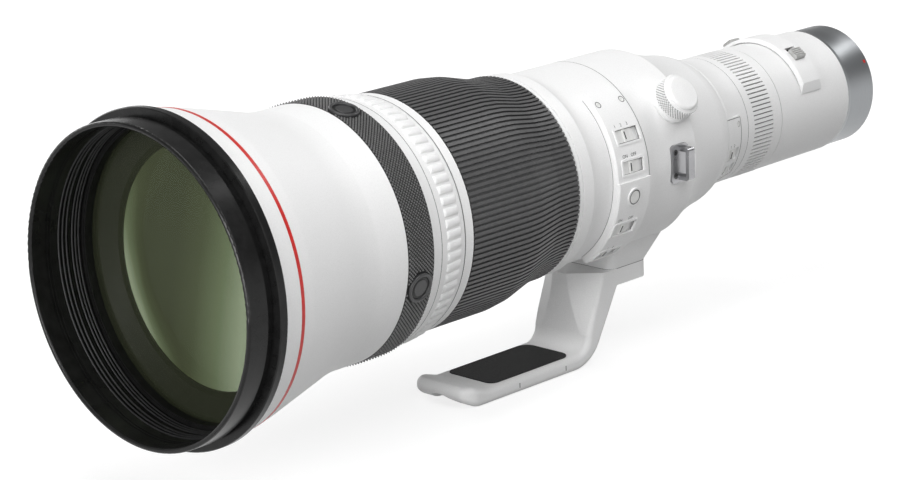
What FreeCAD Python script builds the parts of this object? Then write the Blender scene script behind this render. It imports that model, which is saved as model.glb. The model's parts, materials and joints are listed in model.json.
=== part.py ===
import FreeCAD, Part
import math, os

# Super telephoto lens with a drop-in filter, a rotating tripod collar and its foot.
# Millimetres. X runs along the optical axis towards the subject, Y to the lens's left
# (the side with the switches), Z up. X = 0 is the seating face of the camera mount.
# Angles are in degrees, measured round X from the top towards the left side.

# Running and seating clearances
GAP = 0.3
FIT = 0.1
SLIDE_FIT = 0.05
JOIN_TOLERANCE = 0.05

# Camera mount
FLANGE_R = 32.3
FLANGE_THICK = 3.0
THROAT_R = 24.0
SPIGOT_R = 25.6
LUG_R = 26.9
LUG_COUNT = 3
LUG_SWEEP = 52.0
LUG_THICK = 1.7
BAYONET_LENGTH = 5.8
MARK_ANGLE = 59.7
MOUNT_SCREW_COUNT = 4
MOUNT_SCREW_CIRCLE_R = 29.0
CONTACT_COUNT = 12
CONTACT_PITCH = 4.6
CONTACT_R = 0.7
CONTACT_CIRCLE_R = 22.2
CONTACT_BLOCK_DEPTH = 3.4
WEB_THICK = 4.0
SKIRT_LENGTH = 25.6
SKIRT_R = 34.8
SKIRT_WALL = 2.3
GASKET_WIDTH = 1.3
GASKET_PROUD = 0.5

# Rear barrel with the drop-in filter
REAR_BARREL_LENGTH = 63.0
REAR_BARREL_R = 35.6
REAR_BARREL_WALL = 3.4
FILTER_CENTRE = 33.4
FILTER_THICK = 14.0
FILTER_HALF_WIDTH = 29.0
FILTER_GLASS_R = 26.0
FILTER_GLASS_THICK = 2.0
FILTER_WALL = 2.6
COVER_HALF_ANGLE = 72.0
COVER_R = 38.5
COVER_FRONT_REACH = 9.8
COVER_REAR_REACH = 8.6
COVER_BEVEL = 1.7
COVER_END_SLOPE = 22.0
RELEASE_ANGLE = 37.0
RELEASE_LENGTH = 8.0
RELEASE_WIDTH = 7.0
RELEASE_PROUD = 2.6
RELEASE_TRAVEL = 2.5
REAR_GLASS_R = 17.0
REAR_GLASS_THICK = 4.5

# Control ring
CONTROL_RING_LENGTH = 30.7
CONTROL_RING_R = 36.2
CONTROL_SEAT_R = 33.4
GROOVE_COUNT = 90
GROOVE_DEPTH = 0.6
GROOVE_WIDTH = 0.8
GROOVE_LENGTH = 17.3

# Rear tube with its switch panel, and the cone that carries the collar
REAR_TUBE_LENGTH = 21.4
REAR_TUBE_R = 36.4
REAR_TUBE_FLARE = 2.9
TUBE_WALL = 2.9
REAR_PANEL_LENGTH = 14.7
REAR_PANEL_TOP = 74.6
REAR_PANEL_END = 131.0
REAR_PANEL_PROUD = 1.0

# Collar, lock knob and strap lugs
COLLAR_LENGTH = 83.7
COLLAR_R = 53.0
COLLAR_CYLINDER_LENGTH = 39.2
COLLAR_SHOULDER_LENGTH = 9.5
COLLAR_SHOULDER_R = 43.5
COLLAR_WALL = 3.2
KNOB_ANGLE = 54.5
KNOB_BACK = 28.7
KNOB_R = 12.0
KNOB_CAP_R = 10.0
KNOB_HEIGHT = 12.2
KNOB_BOSS_R = 11.4
KNOB_BOSS_PROUD = 1.0
LOCK_SCREW_R = 3.0
LUG_PLATE_LENGTH = 13.4
LUG_PLATE_HEIGHT = 21.0
LUG_PLATE_THICK = 1.6
LUG_PLATE_BACK = 24.7
LUG_LOOP_GAP = 4.5
LUG_LOOP_BAR = 2.2
LUG_LOOP_WIDTH = 5.0
LUG_LOOP_BACK = 2.4

# Foot
FOOT_HALF_WIDTH = 20.5
PEDESTAL_LENGTH = 32.0
PEDESTAL_BACK = 3.7
PEDESTAL_DROP = 61.0
FOOT_DROP = 111.3
FOOT_PLATE_THICK = 8.7
FOOT_FLANGE_THICK = 9.5
FOOT_REACH = 147.6
FOOT_NOSE_RISE = 3.1
FOOT_CORNER_R = 12.0
FOOT_CORNER_LEAD = 2.0
FOOT_FILLET = 9.0
HEEL_R = 23.0
NOSE_R = 4.0
NOSE_SLOPE = 32.0
FOOT_EDGE_R = 3.4
SCOOP_R = 14.0
LEG_START = 24.2
LEG_RAKE = 0.5535
LEG_FRONT_OFFSET = 18.6
PAD_LENGTH = 63.0
PAD_HALF_WIDTH = 17.0
PAD_THICK = 1.6
PAD_PROUD = 0.4
BIG_THREAD_R = 3.97
SMALL_THREAD_R = 2.55
THREAD_DEPTH = 6.6
THREAD_SPACING = 30.0
FOOT_BOLT_R = 2.0
FOOT_BOLT_HEAD_R = 3.4

# Main body with the switch panel
BODY_LENGTH = 57.7
BODY_R = 53.0
BODY_FRONT_R = 55.4
BODY_STEP_LENGTH = 20.5
PANEL_BACK = 3.0
PANEL_LENGTH = 26.0
PANEL_TOP = 38.5
PANEL_STEP = 90.4
PANEL_END = 146.0
PANEL_UPPER_R = 56.0
PANEL_LOWER_R = 57.3
PANEL_BEVEL = 0.9
FRAME_WIDTH = 1.2
FRAME_PROUD = 0.45
FRAME_CORNER_R = 1.6
WINDOW_DEPTH = 1.8
SET_BUTTON_R = 3.5
SET_RIM_R = 5.1
SET_ANGLE = 99.3
SET_TRAVEL = 0.6

# Focus ring
FOCUS_RING_LENGTH = 87.5
FOCUS_REAR_R = 55.8
FOCUS_FRONT_R = 62.8
FOCUS_REAR_LAND = 7.0
FOCUS_RISE_LENGTH = 38.0
RISE_STEPS = 4
RUBBER_THICK = 2.7
RIB_COUNT = 132
RIB_HEIGHT = 1.1
RIB_WIDTH = 1.7
SLEEVE_THICK = 1.8
BODY_WALL = 2.5

# Playback ring and its carrier
SHOULDER_LENGTH = 5.8
SHOULDER_R = 63.0
PLAYBACK_LENGTH = 18.3
PLAYBACK_REAR_R = 63.1
PLAYBACK_FRONT_R = 64.9
PLAYBACK_WALL = 2.4
PLAYBACK_RIB_COUNT = 72
PLAYBACK_RIB_HEIGHT = 0.8
PLAYBACK_RIB_LENGTH = 9.7
PLAYBACK_RIB_SHARE = 0.56

# Front bell with the rubber grip and four buttons
BELL_COLLAR_LENGTH = 7.1
BELL_COLLAR_R = 65.9
GRIP_LENGTH = 18.1
GRIP_R = 66.9
GRIP_THICK = 2.2
BUTTON_COUNT = 4
BUTTON_ANGLE = 14.9
BUTTON_R = 5.6
BEZEL_R = 7.8
BUTTON_TRAVEL = 0.8
BELL_LENGTH = 95.4
BELL_REAR_R = 66.8
BELL_FRONT_R = 83.0
BELL_STRAIGHT = 19.0
BELL_CHIN_LENGTH = 20.0
BELL_CHIN_RISE = 3.5
BELL_FLARE_LENGTH = 21.5
BELL_FLARE_RISE = 4.0
BELL_WALL = 2.0
RED_LINE_BACK = 12.8
RED_LINE_WIDTH = 2.2

# Front rim and front glass
RIM_LENGTH = 20.5
RIM_FLANGE_PROUD = 1.0
RIM_FLANGE_LENGTH = 4.4
RIM_GROOVE_DEPTH = 1.3
RIM_GROOVE_LENGTH = 3.9
RIM_BAND_DROP = 2.7
RIM_LIP = 2.7
TRAP_DEPTH = 0.5
TRAP_WIDTH = 1.2
TRAP_BACKS = (9.0, 11.0, 18.0, 20.2, 22.4, 24.6, 26.8, 29.0)
GLASS_BACK = 20.0
GLASS_INSET = 1.6
FRONT_GLASS_EDGE = 3.2
FRONT_GLASS_SAG = 6.5
CELL_WALL = 1.0
CELL_LIP = 1.7
SECOND_BACK = 9.2
SECOND_INSET = 14.5
SECOND_GLASS_THICK = 4.0
SECOND_GLASS_SAG = 3.0
SECOND_LIP = 1.5
RETAINER_WIDTH = 0.9
RETAINER_LENGTH = 4.6

# Groups inside
FOCUS_GLASS_R = 34.0
FOCUS_GLASS_THICK = 7.0
ROD_R = 2.0
ROD_CIRCLE_R = 44.0
IRIS_BORE_R = 24.0
STABILISER_GLASS_R = 22.0
STABILISER_GLASS_THICK = 5.0
STABILISER_TRAVEL = 1.0

# Leg of the foot at five heights: share of the drop to the plate, how far the side edges lie
# behind the front flat, and the half width of the flat
LEG_SECTIONS = ((0.0, 13.5, 4.9), (0.25, 10.6, 6.0), (0.5, 7.2, 8.0), (0.78, 3.2, 11.0),
                (1.0, 0.2, 14.0))

# Stations along the optical axis
SKIRT_FRONT = SKIRT_LENGTH
REAR_BARREL_FRONT = SKIRT_FRONT + REAR_BARREL_LENGTH
CONTROL_FRONT = REAR_BARREL_FRONT + GAP + CONTROL_RING_LENGTH
TUBE_REAR = CONTROL_FRONT + GAP
TUBE_FRONT = TUBE_REAR + REAR_TUBE_LENGTH
COLLAR_REAR = TUBE_FRONT + GAP
COLLAR_FRONT = COLLAR_REAR + COLLAR_LENGTH
BODY_REAR = COLLAR_FRONT + GAP
BODY_FRONT = BODY_REAR + BODY_LENGTH
FOCUS_REAR = BODY_FRONT + GAP
FOCUS_FRONT = FOCUS_REAR + FOCUS_RING_LENGTH
SHOULDER_REAR = FOCUS_FRONT + GAP
SHOULDER_FRONT = SHOULDER_REAR + SHOULDER_LENGTH
PLAYBACK_REAR = SHOULDER_FRONT + GAP
PLAYBACK_FRONT = PLAYBACK_REAR + PLAYBACK_LENGTH
BELL_REAR = PLAYBACK_FRONT + GAP
GRIP_REAR = BELL_REAR + BELL_COLLAR_LENGTH
GRIP_FRONT = GRIP_REAR + GRIP_LENGTH
RIM_REAR = GRIP_FRONT + BELL_LENGTH
RIM_FRONT = RIM_REAR + RIM_LENGTH

ORIGIN = FreeCAD.Vector(0, 0, 0)
TURN = FreeCAD.Vector(-1, 0, 0)
UP = FreeCAD.Vector(0, 0, 1)


def outline(start, *steps):
    """Closed wire in the XZ plane. A step is a point, or a pair of points for an arc through
    the first of them to the second."""
    edges = []
    here = FreeCAD.Vector(start[0], 0, start[1])
    for step in steps + (start,):
        if isinstance(step[0], tuple):
            middle = FreeCAD.Vector(step[0][0], 0, step[0][1])
            end = FreeCAD.Vector(step[1][0], 0, step[1][1])
            edges.append(Part.Arc(here, middle, end).toShape())
        else:
            end = FreeCAD.Vector(step[0], 0, step[1])
            if here.distanceToPoint(end) > 1e-6:
                edges.append(Part.LineSegment(here, end).toShape())
        here = end
    return Part.Wire(edges)


def turned(start, *steps):
    """Solid of revolution about the optical axis from an outline of (station, radius)."""
    return Part.Face(outline(start, *steps)).revolve(ORIGIN, TURN, 360)


def sector(first, last, start, *steps):
    """Part of a solid of revolution between two angles round the lens."""
    face = Part.Face(outline(start, *steps))
    return at_angle(face.revolve(ORIGIN, TURN, last - first), first)


def at_angle(shape, angle):
    """Copy of a shape made at the top, carried round the lens to an angle."""
    copy = shape.copy()
    copy.rotate(ORIGIN, TURN, angle)
    return copy


def tube(rear, front, inner, outer):
    return turned((rear, inner), (rear, outer), (front, outer), (front, inner))


def arc_block(first, last, rear, front, inner, outer):
    return sector(first, last, (rear, inner), (rear, outer), (front, outer), (front, inner))


def peg(station, angle, radius, inner, outer):
    """Cylinder that stands radially on the lens."""
    shape = Part.makeCylinder(radius, outer - inner, FreeCAD.Vector(station, 0, inner), UP)
    return at_angle(shape, angle)


def pin_along(rear, front, radius, angle, circle):
    """Cylinder along the optical axis, at a distance from it."""
    start = FreeCAD.Vector(rear, 0, circle)
    shape = Part.makeCylinder(radius, front - rear, start, FreeCAD.Vector(1, 0, 0))
    return at_angle(shape, angle)


def block(x0, x1, y0, y1, z0, z1):
    return Part.makeBox(x1 - x0, y1 - y0, z1 - z0, FreeCAD.Vector(x0, y0, z0))


def rounded_wire(corners):
    """Closed flat wire through corners of (point, radius), each rounded to its radius."""
    bends = []
    count = len(corners)
    for i, (corner, radius) in enumerate(corners):
        back = (corners[i - 1][0] - corner).normalize()
        ahead = (corners[(i + 1) % count][0] - corner).normalize()
        half = back.getAngle(ahead) / 2
        inward = (back + ahead).normalize()
        reach = radius / math.tan(half)
        middle = corner + inward * (radius / math.sin(half) - radius)
        bends.append((corner + back * reach, middle, corner + ahead * reach))
    edges = []
    for i, (start, middle, end) in enumerate(bends):
        if start.distanceToPoint(end) > 1e-6:
            edges.append(Part.Arc(start, middle, end).toShape())
        edges.append(Part.LineSegment(end, bends[(i + 1) % count][0]).toShape())
    return Part.Wire(edges)


def rounded_plan(x0, x1, half_width, rear_r, front_r, z):
    """Wire of a rectangle in plan with rounded corners."""
    corners = [(x0, -half_width, rear_r), (x0, half_width, rear_r), (x1, half_width, front_r),
               (x1, -half_width, front_r)]
    return rounded_wire([(FreeCAD.Vector(x, y, z), radius) for x, y, radius in corners])


def plan_block(x0, x1, half_width, rear_r, front_r, z0, z1):
    face = Part.Face(rounded_plan(x0, x1, half_width, rear_r, front_r, z0))
    return face.extrude(FreeCAD.Vector(0, 0, z1 - z0))


def glass_ball(edge, radius, sag):
    """Ball whose surface passes through the edge of a glass face, turned so that its seam is off it."""
    ball_r = (radius ** 2 + sag ** 2) / (2 * abs(sag))
    middle = FreeCAD.Vector(edge + sag - math.copysign(ball_r, sag), 0, 0)
    ball = Part.makeSphere(ball_r, middle, UP)
    ball.rotate(middle, UP, 90)
    return ball


def lens_glass(rear, front, radius, front_sag, rear_sag):
    """Round glass whose faces reach forward of their edges by the sags."""
    end = front + max(front_sag, 0)
    glass = Part.makeCylinder(radius, end - rear, FreeCAD.Vector(rear, 0, 0), FreeCAD.Vector(1, 0, 0))
    front_ball = glass_ball(front, radius, front_sag)
    glass = glass.common(front_ball) if front_sag > 0 else glass.cut(front_ball)
    return glass.cut(glass_ball(rear, radius, rear_sag))


def save(name, *shapes):
    solids = [solid for shape in shapes for solid in shape.Solids]
    result = solids[0] if len(solids) == 1 else Part.makeCompound(solids)
    result.exportStep("parts/" + name + ".step")


# Camera mount

WEB_FRONT = FLANGE_THICK + WEB_THICK
MOUNT_SCREW_ANGLES = [MARK_ANGLE + 45 + i * 360 / MOUNT_SCREW_COUNT for i in range(MOUNT_SCREW_COUNT)]
MOUNT_SCREW_R = 0.95
MOUNT_HEAD_R = 1.7
MOUNT_HEAD_DEPTH = 1.3
SKIRT_BORE_R = SKIRT_R - SKIRT_WALL


def mount_flange():
    """Chromed bayonet: seating ring, spigot and three lugs."""
    shape = turned((0, SPIGOT_R), (0, FLANGE_R), (FLANGE_THICK, FLANGE_R), (FLANGE_THICK, THROAT_R),
                   (-BAYONET_LENGTH, THROAT_R), (-BAYONET_LENGTH, SPIGOT_R - 0.4),
                   (0.4 - BAYONET_LENGTH, SPIGOT_R))
    for i in range(LUG_COUNT):
        middle = MARK_ANGLE + i * 360 / LUG_COUNT
        lug = arc_block(middle - LUG_SWEEP / 2, middle + LUG_SWEEP / 2, 0.4 - BAYONET_LENGTH,
                        0.4 - BAYONET_LENGTH + LUG_THICK, SPIGOT_R - 0.5, LUG_R)
        shape = shape.fuse(lug)
    for angle in MOUNT_SCREW_ANGLES:
        head = pin_along(-1, MOUNT_HEAD_DEPTH + 0.1, MOUNT_HEAD_R + FIT, angle, MOUNT_SCREW_CIRCLE_R)
        hole = pin_along(-1, FLANGE_THICK + 1, MOUNT_SCREW_R + SLIDE_FIT, angle, MOUNT_SCREW_CIRCLE_R)
        shape = shape.cut(head).cut(hole)
    return shape


def mount_screws():
    screws = []
    for angle in MOUNT_SCREW_ANGLES:
        head = pin_along(0.1, MOUNT_HEAD_DEPTH, MOUNT_HEAD_R, angle, MOUNT_SCREW_CIRCLE_R)
        slot = block(-1, 0.6, -0.3, 0.3, MOUNT_SCREW_CIRCLE_R - 1.2, MOUNT_SCREW_CIRCLE_R + 1.2)
        shank = pin_along(MOUNT_HEAD_DEPTH - 0.1, WEB_FRONT - 0.5, MOUNT_SCREW_R, angle,
                          MOUNT_SCREW_CIRCLE_R)
        screws.append(head.fuse(shank).cut(at_angle(slot, angle)))
    return screws


def mount_skirt():
    """Bare metal ring behind the white barrel, with the web that the flange is screwed to."""
    chamfer = 0.6
    gasket_r = SKIRT_BORE_R + GASKET_WIDTH + FIT
    shape = turned((0, gasket_r), (0, SKIRT_R - chamfer), (chamfer, SKIRT_R),
                   (SKIRT_FRONT - 3.4, SKIRT_R),
                   (SKIRT_FRONT, SKIRT_R + 0.5), (SKIRT_FRONT, SKIRT_BORE_R), (WEB_FRONT, SKIRT_BORE_R),
                   (WEB_FRONT, THROAT_R), (FLANGE_THICK, THROAT_R), (FLANGE_THICK, SKIRT_BORE_R),
                   (1.2, SKIRT_BORE_R), (1.2, gasket_r))
    for angle in MOUNT_SCREW_ANGLES:
        shape = shape.cut(pin_along(0, WEB_FRONT + 1, MOUNT_SCREW_R + SLIDE_FIT, angle,
                                    MOUNT_SCREW_CIRCLE_R))
    return shape


def mount_gasket():
    return tube(-GASKET_PROUD, 1.2, SKIRT_BORE_R + FIT / 2, SKIRT_BORE_R + GASKET_WIDTH)


FIRST_CONTACT = MARK_ANGLE + 180 - (CONTACT_COUNT - 1) / 2 * CONTACT_PITCH
CONTACT_ANGLES = [FIRST_CONTACT + i * CONTACT_PITCH for i in range(CONTACT_COUNT)]
CONTACT_TIP = -CONTACT_BLOCK_DEPTH - 0.6


def contact_block():
    half = CONTACT_PITCH * (CONTACT_COUNT + 1) / 2
    middle = MARK_ANGLE + 180
    inner = CONTACT_CIRCLE_R - 1.7
    shape = arc_block(middle - half, middle + half, -CONTACT_BLOCK_DEPTH, FLANGE_THICK, inner,
                      THROAT_R - FIT)
    for angle in CONTACT_ANGLES:
        shape = shape.cut(pin_along(-10, FLANGE_THICK - 1, CONTACT_R + SLIDE_FIT, angle,
                                    CONTACT_CIRCLE_R))
    return shape


def contact_pins():
    return [pin_along(CONTACT_TIP, FLANGE_THICK - 1, CONTACT_R, angle,
                      CONTACT_CIRCLE_R) for angle in CONTACT_ANGLES]


REAR_GLASS_REAR = WEB_FRONT + 3.0
REAR_GLASS_FRONT = REAR_GLASS_REAR + REAR_GLASS_THICK


def rear_lens_cell():
    """Black cell screwed to the web, with a lip behind the last glass."""
    lip_r = REAR_GLASS_R - 1.2
    outer = REAR_GLASS_R + 3.0
    return turned((WEB_FRONT, lip_r), (WEB_FRONT, SKIRT_BORE_R - 2.0),
                  (WEB_FRONT + 2, SKIRT_BORE_R - 2.0),
                  (WEB_FRONT + 2, outer), (REAR_GLASS_FRONT + 3, outer),
                  (REAR_GLASS_FRONT + 3, REAR_GLASS_R + FIT), (REAR_GLASS_REAR, REAR_GLASS_R + FIT),
                  (REAR_GLASS_REAR, lip_r))


# Rear barrel and the drop-in filter

FILTER_STATION = SKIRT_FRONT + FILTER_CENTRE
FILTER_REAR = FILTER_STATION - FILTER_THICK / 2
FILTER_FRONT = FILTER_STATION + FILTER_THICK / 2
REAR_BORE_R = REAR_BARREL_R - REAR_BARREL_WALL
BULKHEAD_R = FILTER_GLASS_R - 2.0
SLEEVE_REAR = REAR_BARREL_FRONT - 8.0
SLEEVE_BORE_R = CONTROL_SEAT_R - TUBE_WALL


def rear_barrel():
    """White tube with two bulkheads that guide the filter holder, and the slot it drops through."""
    spigot_r = SKIRT_BORE_R - GAP
    slot_rear = FILTER_REAR - GAP
    slot_front = FILTER_FRONT + GAP
    shape = turned((SKIRT_FRONT - 5, REAR_BORE_R - 2), (SKIRT_FRONT - 5, spigot_r),
                   (SKIRT_FRONT, spigot_r),
                   (SKIRT_FRONT, REAR_BARREL_R), (REAR_BARREL_FRONT, REAR_BARREL_R + 0.4),
                   (REAR_BARREL_FRONT, CONTROL_SEAT_R + FIT), (SLEEVE_REAR - FIT, CONTROL_SEAT_R + FIT),
                   (SLEEVE_REAR - FIT, REAR_BORE_R), (slot_front + FILTER_WALL, REAR_BORE_R),
                   (slot_front + FILTER_WALL, BULKHEAD_R), (slot_front, BULKHEAD_R),
                   (slot_front, REAR_BORE_R),
                   (slot_rear, REAR_BORE_R), (slot_rear, BULKHEAD_R),
                   (slot_rear - FILTER_WALL, BULKHEAD_R),
                   (slot_rear - FILTER_WALL, REAR_BORE_R), (SKIRT_FRONT + 6, REAR_BORE_R),
                   (SKIRT_FRONT + 3, REAR_BORE_R - 2))
    half = FILTER_HALF_WIDTH + GAP
    return shape.cut(block(slot_rear, slot_front, -half, half, 0, 2 * REAR_BARREL_R))


def filter_cover():
    """White cover over the slot, its ends sloping down to the barrel, with two thumb recesses."""
    seat_r = REAR_BARREL_R + 0.4 + GAP
    front = FILTER_STATION + COVER_FRONT_REACH
    rear = FILTER_STATION - COVER_REAR_REACH
    reach = COVER_HALF_ANGLE + 4
    shape = sector(-reach, reach, (rear, seat_r), (rear + COVER_BEVEL, COVER_R),
                   (front - COVER_BEVEL, COVER_R),
                   (front, seat_r + 0.5), (front, seat_r))
    foot_r = seat_r + 0.2
    pivot = FreeCAD.Vector(0, 0, foot_r)
    for side in (-1, 1):
        wedge = arc_block(-16, 6, rear - 1, front + 1, foot_r, COVER_R + 6)
        if side < 0:
            wedge = wedge.mirror(ORIGIN, FreeCAD.Vector(0, 1, 0))
        wedge.rotate(pivot, TURN, side * COVER_END_SLOPE)
        shape = shape.cut(at_angle(wedge, side * COVER_HALF_ANGLE))
        shape = shape.cut(release_pocket(side))
    return shape


def release_pocket(side):
    """Recess in the cover that a release button slides in, at one side of the top."""
    angle = side * RELEASE_ANGLE
    length = RELEASE_LENGTH / 2 + GAP
    inner = RELEASE_WIDTH / 2 + RELEASE_TRAVEL + GAP
    outer = RELEASE_WIDTH / 2 + GAP
    low, high = (-inner, outer) if side > 0 else (-outer, inner)
    shape = block(FILTER_STATION - length, FILTER_STATION + length, low, high, COVER_R - 4, COVER_R + 8)
    return at_angle(shape, angle)


def release_button(side):
    """Ribbed button that is pushed towards the top of the lens to free the filter holder."""
    half = RELEASE_WIDTH / 2
    base = REAR_BARREL_R + 0.4 + 2 * GAP
    top = COVER_R + RELEASE_PROUD
    shape = block(FILTER_STATION - RELEASE_LENGTH / 2, FILTER_STATION + RELEASE_LENGTH / 2, -half, half,
                  base, top)
    crest = 1.2
    for edge in (-half, half):
        bevel = Part.makeBox(2 * RELEASE_LENGTH, crest, crest,
                             FreeCAD.Vector(-RELEASE_LENGTH, -crest / 2, -crest / 2))
        bevel.rotate(ORIGIN, FreeCAD.Vector(1, 0, 0), 45)
        bevel.translate(FreeCAD.Vector(FILTER_STATION, edge, top))
        shape = shape.cut(bevel)
    ribs = 4
    for i in range(ribs):
        y = (i - (ribs - 1) / 2) * RELEASE_WIDTH / (ribs + 1)
        shape = shape.cut(block(FILTER_REAR, FILTER_FRONT, y - 0.3, y + 0.3, top - 0.5, top + 1))
    return at_angle(shape, side * RELEASE_ANGLE)


def filter_holder():
    """Black frame round the filter, half round below and straight sided above."""
    lower = Part.makeCylinder(FILTER_HALF_WIDTH, FILTER_THICK, FreeCAD.Vector(FILTER_REAR, 0, 0),
                              FreeCAD.Vector(1, 0, 0))
    upper = block(FILTER_REAR, FILTER_FRONT, -FILTER_HALF_WIDTH, FILTER_HALF_WIDTH, 0, COVER_R)
    shape = lower.fuse(upper)
    cap = turned((FILTER_REAR - 1, 0), (FILTER_REAR - 1, REAR_BARREL_R),
                 (FILTER_FRONT + 1, REAR_BARREL_R),
                 (FILTER_FRONT + 1, 0))
    shape = shape.common(cap)
    glass_front = FILTER_STATION + FILTER_GLASS_THICK / 2 + 2
    glass_rear = FILTER_STATION - FILTER_GLASS_THICK / 2
    bore = turned((FILTER_REAR - 1, 0), (FILTER_REAR - 1, BULKHEAD_R), (glass_rear, BULKHEAD_R),
                  (glass_rear, FILTER_GLASS_R + FIT), (glass_front, FILTER_GLASS_R + FIT),
                  (glass_front, FILTER_GLASS_R + FIT), (FILTER_FRONT + 1, FILTER_GLASS_R + FIT),
                  (FILTER_FRONT + 1, 0))
    return shape.cut(bore)


def filter_glass():
    half = FILTER_GLASS_THICK / 2
    return Part.makeCylinder(FILTER_GLASS_R, 2 * half, FreeCAD.Vector(FILTER_STATION - half, 0, 0),
                             FreeCAD.Vector(1, 0, 0))


# Control ring

def toothed_ring(count, share, root, tip, bore, rear, length):
    """Ring whose outside steps between two radii, count times round."""
    pitch = 360 / count
    edges = []
    for i in range(count):
        a = [i * pitch, (i + share / 2) * pitch, (i + share) * pitch, (i + (1 + share) / 2) * pitch,
             (i + 1) * pitch]
        p = [round_point(rear, r, angle) for r, angle in
             ((tip, a[0]), (tip, a[1]), (tip, a[2]), (root, a[2]), (root, a[3]), (root, a[4]),
              (tip, a[4]))]
        edges.append(Part.Arc(p[0], p[1], p[2]).toShape())
        edges.append(Part.LineSegment(p[2], p[3]).toShape())
        edges.append(Part.Arc(p[3], p[4], p[5]).toShape())
        edges.append(Part.LineSegment(p[5], p[6]).toShape())
    outer = Part.Face(Part.Wire(edges))
    solid = outer.extrude(FreeCAD.Vector(length, 0, 0))
    return solid.cut(Part.makeCylinder(bore, length + 2, FreeCAD.Vector(rear - 1, 0, 0),
                                       FreeCAD.Vector(1, 0, 0)))


def round_point(station, radius, angle):
    a = math.radians(angle)
    return FreeCAD.Vector(station, radius * math.sin(a), radius * math.cos(a))


def control_ring():
    """White ring with fine axial grooves over its middle."""
    rear = REAR_BARREL_FRONT + GAP
    bore = CONTROL_SEAT_R + GAP
    groove_rear = rear + 7.8
    groove_front = groove_rear + GROOVE_LENGTH
    share = 1 - GROOVE_WIDTH * GROOVE_COUNT / (2 * math.pi * CONTROL_RING_R)
    shape = turned((rear, bore), (rear, CONTROL_RING_R - 0.4), (rear + 0.4, CONTROL_RING_R),
                   (groove_rear, CONTROL_RING_R), (groove_rear, bore))
    middle = toothed_ring(GROOVE_COUNT, share, CONTROL_RING_R - GROOVE_DEPTH, CONTROL_RING_R, bore,
                          groove_rear, GROOVE_LENGTH)
    front = turned((groove_front, bore), (groove_front, CONTROL_RING_R),
                   (CONTROL_FRONT, CONTROL_RING_R),
                   (CONTROL_FRONT, bore))
    return shape.fuse([middle, front])


# Rear tube, cone and rear switch panel

CONE_FRONT = COLLAR_FRONT - COLLAR_CYLINDER_LENGTH
LAND_R = COLLAR_R - COLLAR_WALL - GAP
TUBE_STEP_R = REAR_TUBE_R + 1.6
PANEL_REAR_STATION = TUBE_FRONT - REAR_PANEL_LENGTH
TUBE_FLARE_R = REAR_TUBE_R + REAR_TUBE_FLARE
REAR_SWITCH_SIZE = 6.2


def rear_panel_blank(extra):
    flare = REAR_PANEL_PROUD + REAR_TUBE_R
    rear = PANEL_REAR_STATION - extra
    floor = REAR_TUBE_R - 0.9 - extra
    return sector(REAR_PANEL_TOP, REAR_PANEL_END, (rear, floor), (rear, flare - 0.6 + extra),
                  (rear + 0.8, flare + extra), (TUBE_FRONT, TUBE_FLARE_R + 0.4 + extra),
                  (TUBE_FRONT, floor))


def rear_cone():
    """White tube that carries the control ring, then widens inside the collar to its bearing land."""
    shape = turned((SLEEVE_REAR, SLEEVE_BORE_R), (SLEEVE_REAR, CONTROL_SEAT_R),
                   (TUBE_REAR, CONTROL_SEAT_R),
                   (TUBE_REAR, REAR_TUBE_R - 0.1), (TUBE_REAR + 6, REAR_TUBE_R + 0.1),
                   ((TUBE_REAR + 13.5, REAR_TUBE_R + 1.1), (TUBE_FRONT - 1.7, TUBE_FLARE_R)),
                   (TUBE_FRONT, TUBE_FLARE_R), (TUBE_FRONT, TUBE_STEP_R), (CONE_FRONT, LAND_R - 0.6),
                   (CONE_FRONT + 1.5, LAND_R), (BODY_REAR, LAND_R), (BODY_REAR, LAND_R - TUBE_WALL),
                   (CONE_FRONT, LAND_R - TUBE_WALL - 0.6), (TUBE_FRONT, TUBE_STEP_R - TUBE_WALL),
                   (TUBE_REAR, SLEEVE_BORE_R))
    shape = shape.cut(rear_panel_blank(SLIDE_FIT))
    return shape.cut(peg(REAR_SCREW_STATION, REAR_SCREW_ANGLE, PANEL_SCREW_R + SLIDE_FIT,
                         REAR_TUBE_R - 4, REAR_TUBE_R + 4))


REAR_SCREW_STATION = PANEL_REAR_STATION + 3.4
REAR_SCREW_ANGLE = REAR_PANEL_TOP + 7.0
REAR_WINDOW_REAR = PANEL_REAR_STATION + 2.6
REAR_WINDOW_FRONT = TUBE_FRONT - 1.4
REAR_WINDOWS = [(101.5, 112.0), (116.5, 126.0)]
REAR_FLOOR_R = REAR_TUBE_R - 0.3
PANEL_SCREW_R = 0.9
PANEL_SCREW_HEAD_R = 1.6


def rear_switch_panel():
    shape = rear_panel_blank(0)
    for first, last in REAR_WINDOWS:
        shape = shape.cut(arc_block(first, last, REAR_WINDOW_REAR, REAR_WINDOW_FRONT, REAR_FLOOR_R,
                                    TUBE_FLARE_R + 3))
    top = REAR_TUBE_R + REAR_PANEL_PROUD
    head = peg(REAR_SCREW_STATION, REAR_SCREW_ANGLE, PANEL_SCREW_HEAD_R + FIT, top - 0.8, top + 4)
    hole = peg(REAR_SCREW_STATION, REAR_SCREW_ANGLE, PANEL_SCREW_R + SLIDE_FIT, REAR_TUBE_R - 4,
               top + 4)
    return shape.cut(head).cut(hole)


def slider(first, last, rear, front, floor, top, ridge_at):
    """Curved switch slider: a plate in its window with a low ridge across it."""
    margin = math.degrees(GAP / floor)
    plate = arc_block(first + margin, last - margin, rear, front, floor + SLIDE_FIT, top - 0.6)
    ridge = arc_block(first + margin, last - margin, ridge_at - 1.0, ridge_at + 1.0, floor + SLIDE_FIT,
                      top)
    return plate.fuse(ridge)


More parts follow.
